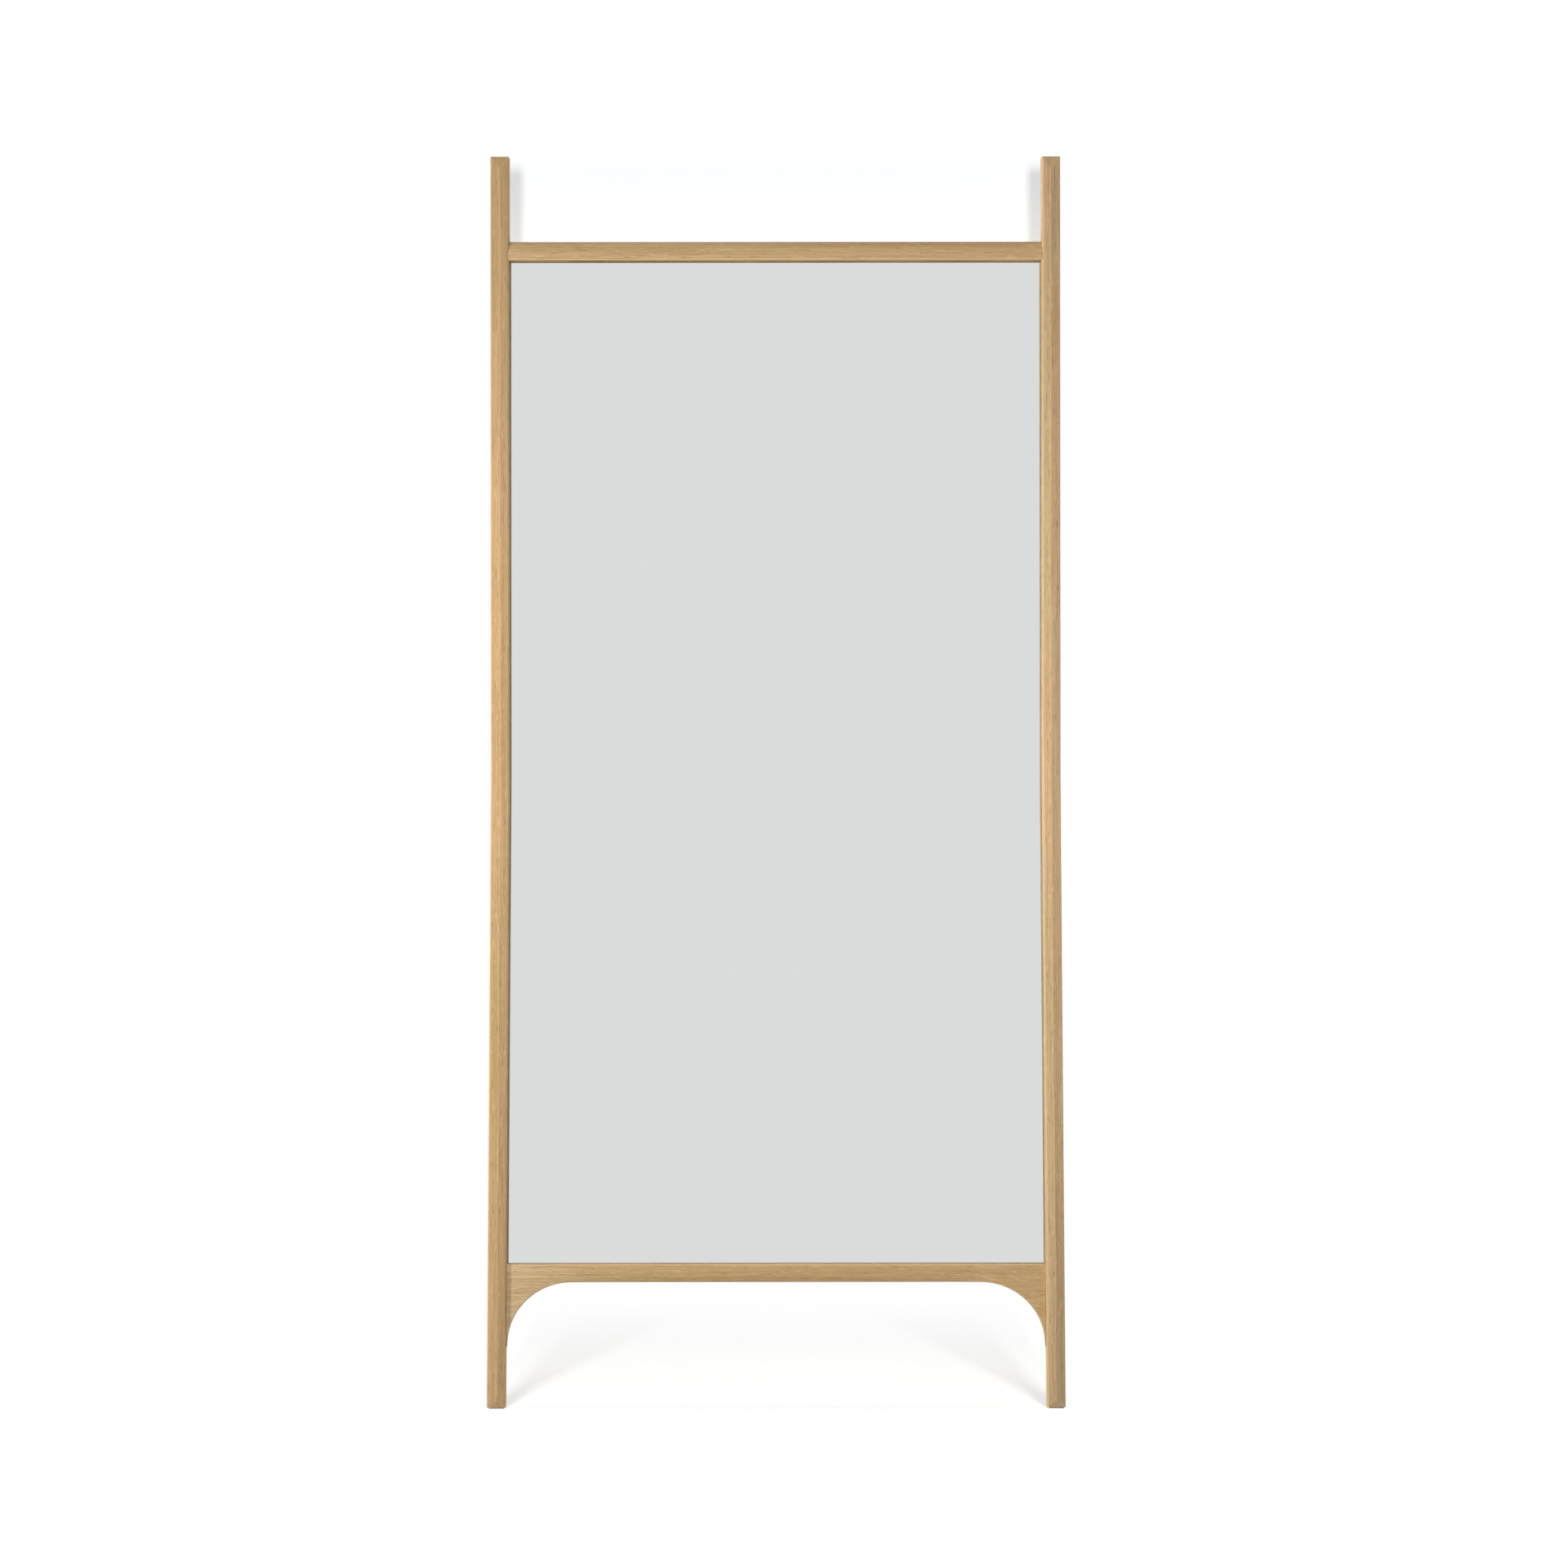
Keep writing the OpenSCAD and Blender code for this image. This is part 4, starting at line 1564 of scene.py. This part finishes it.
class ScrewSetting:
    """The Geometry Nodes tree that sets a screw at each point, each turned to its own angle."""

    SEED = 7

    def __init__(self) -> None:
        """Writes the tree."""
        kinds = {"Points": "Geometry", "Screw": "Object", "Finish": "Material", "Turn": "Float"}
        g, take = start_tree("screw_setting", kinds, "Screws")
        self.tree = g.tree
        screw = g.add("GeometryNodeObjectInfo", None, {"Object": take["Screw"]}, "Geometry")
        span = {2: 0.0, 3: take["Turn"], "Seed": self.SEED}
        angle = g.add("FunctionNodeRandomValue", {"data_type": "FLOAT"}, span, 1)
        turned = g.add("ShaderNodeCombineXYZ", None, {"Y": angle})
        given = {"Points": take["Points"], "Instance": screw, "Rotation": turned}
        end_tree(g, g.add("GeometryNodeInstanceOnPoints", None, given), take["Finish"])

    def set(
        self, name: str, spots: Sequence[Point], screw: ScrewShape, coat: bpy.types.Material
    ) -> bpy.types.Mesh:
        """Sets the screws.

        Args:
            name: the mesh's name.
            spots: where the tops of their heads are.
            screw: their shape.
            coat: their finish.

        Returns:
            All the screws as one plain mesh.
        """
        points = bpy.data.meshes.new("spots")
        points.from_pydata(list(spots), [], [])
        work, pattern = add_object("spots", points), add_object("screw", screw.mesh())
        values = {"Screw": pattern, "Finish": coat, "Turn": HALF_TURN}
        mesh = run_tree(work, self.tree, values, name)
        for helper in (work, pattern):
            remove_object(helper)
        return mesh


@dataclass
class Ironware:
    """Turn buttons with their pivot screws, and the two wall hinges."""

    setting: ScrewSetting
    brass: Metal
    steel: Metal
    zinc: Metal
    buttons: int = 8
    button_ease: float = 0.00035
    button_lift: float = 0.0001
    pivot_end: float = -0.0066
    leaf_ease: float = 0.00025
    frame_screw_height: float = 1.835
    frame_screw_pitch: float = 0.016

    def build(self) -> list[bpy.types.Object]:
        """Makes all the ironware."""
        brass, steel, zinc = (finish.material() for finish in (self.brass, self.steel, self.zinc))
        made = []
        spots: list[Point] = []
        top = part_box("pivot_screws")[1].y
        for number in range(1, self.buttons + 1):
            node = f"turn_button_{number}"
            mesh = eased_copy(node, self.button_ease)
            mesh.transform(Matrix.Translation((0.0, self.button_lift, 0.0)))
            name, body = f"button_plate_{number}", f"button_{number}"
            made.append(stand_in(name, mesh, body, [node], brass))
            spots.append(self._pivot(node, top))
        screw = ScrewShape(0.0072, 0.00205, 0.0037, top - self.pivot_end, 0.0009, False)
        mesh = self.setting.set("pivot_screw_set", spots, screw, steel)
        made.append(stand_in("pivot_screw_set", mesh, "frame", ["pivot_screws"], steel))

        low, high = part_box("left_frame_leaf")
        middle, face = (low.x + high.x) / 2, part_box("hinge_screws")[1].y
        heights = [self.frame_screw_height + way * self.frame_screw_pitch / 2 for way in (-1, 1)]
        spots = [(side * abs(middle), face, height) for side in (-1, 1) for height in heights]
        screw = ScrewShape(0.0066, 0.0015, 0.0035, 0.018, 0.0001, True, cross=0.0036)
        mesh = self.setting.set("hinge_screw_set", spots, screw, steel)
        made.append(stand_in("hinge_screw_set", mesh, "frame", ["hinge_screws"], steel))
        for side in ("left", "right"):
            for node, body, coat, slot in (
                (f"{side}_frame_leaf", "frame", zinc, "hinge_steel"),
                (f"{side}_wall_leaf", f"{side}_leaf", zinc, "hinge_steel"),
                (f"{side}_hinge_pin", "frame", steel, "screw_steel"),
            ):
                mesh = eased_copy(node, self.leaf_ease)
                made.append(stand_in(node + "_eased", mesh, body, [node], coat))
        return made

    @staticmethod
    def _pivot(node: str, top: float) -> Point:
        """The place of a button's pivot, which is at the round end that lies on the frame.

        Args:
            node: the button's CAD node.
            top: how far back the heads of the pivot screws reach.

        Returns:
            The place.
        """
        frame_middle = sum(corner.z for corner in CAD_BOX) / 2
        low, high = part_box(node)
        half = min(high.x - low.x, high.z - low.z) / 2
        middle = (low + high) / 2
        if high.x - low.x > high.z - low.z:
            x = low.x + half if middle.x < 0 else high.x - half
            return x, top, middle.z
        return middle.x, top, high.z - half if middle.z > frame_middle else low.z + half


@dataclass
class PadsAndGlides:
    """The rubber wall pads and the nylon glides under the feet."""

    ease: float = 0.0004
    strips: int = 3

    def build(self, rubber: Plain, nylon: Plain) -> list[bpy.types.Object]:
        """Makes the pads and the glides.

        Args:
            rubber: the pads' finish.
            nylon: the glides' finish.

        Returns:
            The four pieces.
        """
        made = []
        for finish, slot, kind in ((rubber, "pad_rubber", "wall_pad"), (nylon, "glide_nylon", "foot_glide")):
            coat = finish.material()
            for node in (f"left_{kind}", f"right_{kind}"):
                mesh = eased_copy(node, self.ease, self.strips)
                made.append(stand_in(node + "_eased", mesh, "frame", [node], coat))
        return made


@dataclass
class HiddenParts:
    """What the frame holds inside: dowels, film, foam tapes and setting blocks, in the CAD's shapes."""

    dowels: tuple[str, ...] = (
        "top_left_dowels", "top_right_dowels", "bottom_left_dowels", "bottom_right_dowels",
    )

    def dress(self) -> None:
        """Gives each its finish."""
        beech = Oak(
            "beech_finish", Grain.LEVEL, (0.3, 0.1, 0.2), (0.05, 0.2), ring=0.004, figure=0.2,
            light=colour(224, 188, 150), dark=colour(196, 152, 112),
        ).material()
        for node in self.dowels:
            coat_node(node, beech)
        film = colour(206, 208, 206), colour(188, 190, 190), colour(226, 226, 224)
        foam = colour(226, 226, 220), colour(198, 198, 190), colour(238, 238, 234)
        block = colour(46, 46, 48), colour(60, 60, 62), colour(84, 84, 86)
        stuffs = {
            "safety_film": Plain("backing_film_finish", *film, 0.35, 60.0),
            "foam_tapes": Plain("foam_finish", *foam, 0.85, 500.0, 3000.0),
            "setting_blocks": Plain("block_rubber_finish", *block, 0.7),
        }
        for node, finish in stuffs.items():
            coat_node(node, finish.material())


# -------------------------------------------------------------------------------------- studio


class Lit(Enum):
    """What a light falls on."""

    OBJECT = "studio_paper_left_out"
    FLOOR = "studio_floor_alone"
    CARD = "studio_card_alone"


@dataclass
class SoftLight:
    """A soft box that lights the object or one sheet of paper."""

    name: str
    place: Point
    aim: Point
    width: float
    height: float
    power: float
    lit: Lit = Lit.OBJECT
    spread: float = HALF_TURN

    def build(self, receivers: dict[Lit, bpy.types.Collection]) -> bpy.types.Object:
        """Makes the light.

        Args:
            receivers: the objects that each kind of light falls on.

        Returns:
            The light.
        """
        lamp = bpy.data.lights.new(self.name, "AREA")
        lamp.shape = "RECTANGLE"
        lamp.size, lamp.size_y, lamp.energy, lamp.spread = self.width, self.height, self.power, self.spread
        made = bpy.data.objects.new(self.name, lamp)
        bpy.context.scene.collection.objects.link(made)
        made.location = self.place
        made.rotation_mode = "QUATERNION"
        made.rotation_quaternion = (Vector(self.aim) - Vector(self.place)).to_track_quat("-Z", "Y")
        made.visible_glossy = False
        made.visible_camera = False
        made.light_linking.receiver_collection = receivers[self.lit]
        return made


@dataclass
class Studio:
    """The camera, the lights, the sky and the white paper."""

    eye: Point = (0.0126, -10.02, 0.948)
    lens: float = 151.37
    roll: float = math.radians(0.045)
    sensor: float = 36.0
    ambient: float = 0.06
    floor_reach: float = 9.0
    card_gap: float = 0.09
    card_low: float = 1.7475
    card_high: float = 1.94
    card_side: float = 0.424
    beam: float = math.radians(44)
    clip: tuple[float, float] = (0.05, 100.0)

    def __post_init__(self) -> None:
        """Starts the sets of pieces that cast a shadow on the paper and that each light falls on."""
        self.casters = bpy.data.collections.new("studio_casters")
        self.receivers = {lit: bpy.data.collections.new(lit.value) for lit in Lit}

    def camera(self) -> None:
        """Makes the camera, which looks level along +Y."""
        data = bpy.data.cameras.new("camera")
        data.lens, data.sensor_width = self.lens, self.sensor
        data.clip_start, data.clip_end = self.clip
        data.dof.use_dof = False
        made = bpy.data.objects.new("camera", data)
        made.location = self.eye
        made.rotation_euler = (QUARTER_TURN, self.roll, 0.0)
        bpy.context.scene.collection.objects.link(made)
        bpy.context.scene.camera = made

    def sky(self) -> None:
        """A white sky for the eye and for reflections, and a dimmer one as fill light."""
        world = bpy.data.worlds.new("studio_sky")
        world.use_nodes = True
        g = Graph(world.node_tree)
        seen = g.add("ShaderNodeLightPath", output="Is Camera Ray")
        mirrored = g.add("ShaderNodeLightPath", output="Is Glossy Ray")
        direct = seen.math("MAXIMUM", seen, mirrored)
        strength = self.ambient + direct * (1.0 - self.ambient)
        sky = g.add("ShaderNodeBackground", None, {"Color": (1.0, 1.0, 1.0, 1.0), "Strength": strength})
        g.end("ShaderNodeOutputWorld", sky)
        bpy.context.scene.world = world

    def lights(self) -> None:
        """The soft boxes: a far key on the left, a near one in front, a weak fill and a rear pair."""
        object_lights = (
            SoftLight("key_light", (-6.0, -3.7, 1.05), (0.7, 0.0, 1.0), 1.0, 1.0, 19.4, spread=self.beam),
            SoftLight("front_light", (-0.25, -2.0, 1.05), (0.0, 0.0, 1.0), 0.9, 0.5, 22.5),
            SoftLight("fill_light", (2.3, -1.8, 1.1), (0.0, 0.0, 1.0), 0.8, 0.8, 2.2),
            SoftLight("low_light", (0.0, -2.2, 0.1), (0.0, 0.0, 0.9), 1.5, 0.5, 1.8),
            SoftLight("strip_light", (5.0, -1.4, 1.05), (-0.4, 0.0, 1.0), 1.0, 1.0, 1.6, spread=self.beam),
            SoftLight("side_left", (-3.2, 0.9, 1.2), (-0.4, 0.0, 1.0), 1.4, 1.2, 34.0),
            SoftLight("side_right", (3.2, 0.9, 1.2), (0.4, 0.0, 1.0), 1.4, 1.2, 26.0),
            SoftLight("rear_left", (-2.2, 2.8, 1.5), (0.0, 0.0, 0.95), 1.4, 1.8, 66.0),
            SoftLight("rear_right", (2.2, 2.8, 1.3), (0.0, 0.0, 0.95), 1.4, 1.8, 50.0),
        )
        for light in object_lights:
            light.build(self.receivers)
        for side, name in ((-1.0, "left"), (1.0, "right")):
            floor = SoftLight(
                f"floor_{name}", (side * 3.95, -40.0, 13.2), (0.0, 0.5, 0.0), 4.0, 1.0, 13900.0, Lit.FLOOR
            )
            card = SoftLight(
                f"card_{name}", (side * 0.88, -3.0, 2.15), (0.0, 0.09, 1.82), 0.35, 0.9, 33.0, Lit.CARD
            )
            for light in (floor, card):
                light.build(self.receivers).light_linking.blocker_collection = self.casters

    def paper(self) -> None:
        """The floor, and a card behind the tops of the uprights that takes their shadow."""
        reach, deep = self.floor_reach, self.card_gap
        corners = ((-reach, -reach, 0.0), (reach, -reach, 0.0), (reach, reach, 0.0), (-reach, reach, 0.0))
        finish = StudioPaper(
            "floor_paper", (-0.43, -0.02, -1.0), (0.43, 1.55, 1.0), (0.006, 0.02, 0.1), (0.006, 0.7, 0.1),
            0.475, (0.88, 0.9, 0.91, 1.0),
        )
        sheets = {Lit.FLOOR: self._sheet("studio_floor", corners, finish)}
        low, high, side = self.card_low, self.card_high, self.card_side
        corners = ((-side, deep, low), (side, deep, low), (side, deep, high), (-side, deep, high))
        finish = StudioPaper(
            "card_paper", (-0.42, -1.0, 1.0), (0.42, 1.0, 1.90), (0.003, 0.1, 0.1), (0.003, 0.1, 0.02),
            0.37, (0.85, 0.9, 0.95, 1.0),
        )
        sheets[Lit.CARD] = self._sheet("studio_card", corners, finish)
        for lit, sheet in sheets.items():
            self.receivers[lit].objects.link(sheet)
            self.receivers[Lit.OBJECT].objects.link(sheet)
        for held in self.receivers[Lit.OBJECT].collection_objects:
            held.light_linking.link_state = "EXCLUDE"

    @staticmethod
    def _sheet(name: str, corners: Sequence[Point], finish: StudioPaper) -> bpy.types.Object:
        """Lays one flat sheet of paper that only the camera sees.

        Args:
            name: the sheet's name.
            corners: its corners in order.
            finish: its paper.

        Returns:
            The sheet.
        """
        mesh = bpy.data.meshes.new(name)
        mesh.from_pydata(list(corners), [], [tuple(range(len(corners)))])
        mesh.materials.append(finish.material())
        sheet = add_object(name, mesh)
        sheet.visible_glossy = False
        sheet.visible_diffuse = False
        sheet.visible_shadow = False
        return sheet

    def build(self) -> None:
        """Sets up the studio."""
        bpy.context.scene.view_settings.view_transform = "Standard"
        self.camera()
        self.sky()
        self.paper()
        self.lights()


def main() -> None:
    """Builds the whole mirror and its studio."""
    logging.basicConfig(level=logging.INFO, format="%(name)s: %(message)s")
    studio = Studio()
    studio.build()
    sizes = FrameSizes()
    sweep = MemberSweep()
    rebate = Rebate(sizes)
    uprights = Uprights(sizes, sweep)
    left = Oak("oak_left_upright", Grain.UPRIGHT, (0.0, 0.0, 0.0), (0.21, 0.05))
    right = Oak(
        "oak_right_upright", Grain.UPRIGHT, (3.1, 1.7, 0.4), (-0.03, 0.085), taper=0.010,
        swell=(1.31, 0.11, 0.016), light=colour(226, 195, 150), dark=colour(178, 145, 102),
        rosy=colour(230, 188, 146), olive=colour(204, 180, 134),
    )
    for upright in uprights.build(rebate, {-1.0: left, 1.0: right}):
        studio.casters.objects.link(upright)
    head = Oak(
        "oak_top_rail", Grain.LEVEL, (5.3, 0.6, 1.1), (-0.04, 0.11), taper=0.012, light=colour(236, 203, 152)
    )
    TopRail(sizes, sweep).build(rebate, uprights, head)
    base = Oak(
        "oak_bottom_board", Grain.LEVEL, (7.7, 2.2, 2.9), (0.16, 0.05), taper=0.008, figure=0.48,
        light=colour(226, 190, 133), swell=(0.36, 0.05, 0.012),
        # painted light: paler patches over the two haunches, the left one much stronger
        sapwood=((-0.41, 0.12, 0.95), (0.41, 0.12, 0.2)),
    )
    BottomBoard(sizes).build(rebate, base)
    GlassAndBack().build(SilveredGlass(), Ply())
    brass = Metal("brassed_finish", colour(214, 180, 108), colour(176, 140, 78), 0.26)
    steel = Metal("screw_finish", colour(196, 194, 188), colour(150, 148, 144), 0.3)
    zinc = Metal("hinge_finish", colour(204, 204, 202), colour(166, 167, 168), 0.34)
    Ironware(ScrewSetting(), brass, steel, zinc).build()
    rubber = Plain("pad_rubber_finish", colour(44, 43, 42), colour(62, 60, 58), colour(96, 94, 90), 0.72)
    nylon = Plain(
        "glide_nylon_finish", colour(226, 222, 210), colour(208, 203, 190), colour(240, 237, 228), 0.42
    )
    PadsAndGlides().build(rubber, nylon)
    HiddenParts().dress()


if __name__ == "__main__":
    main()
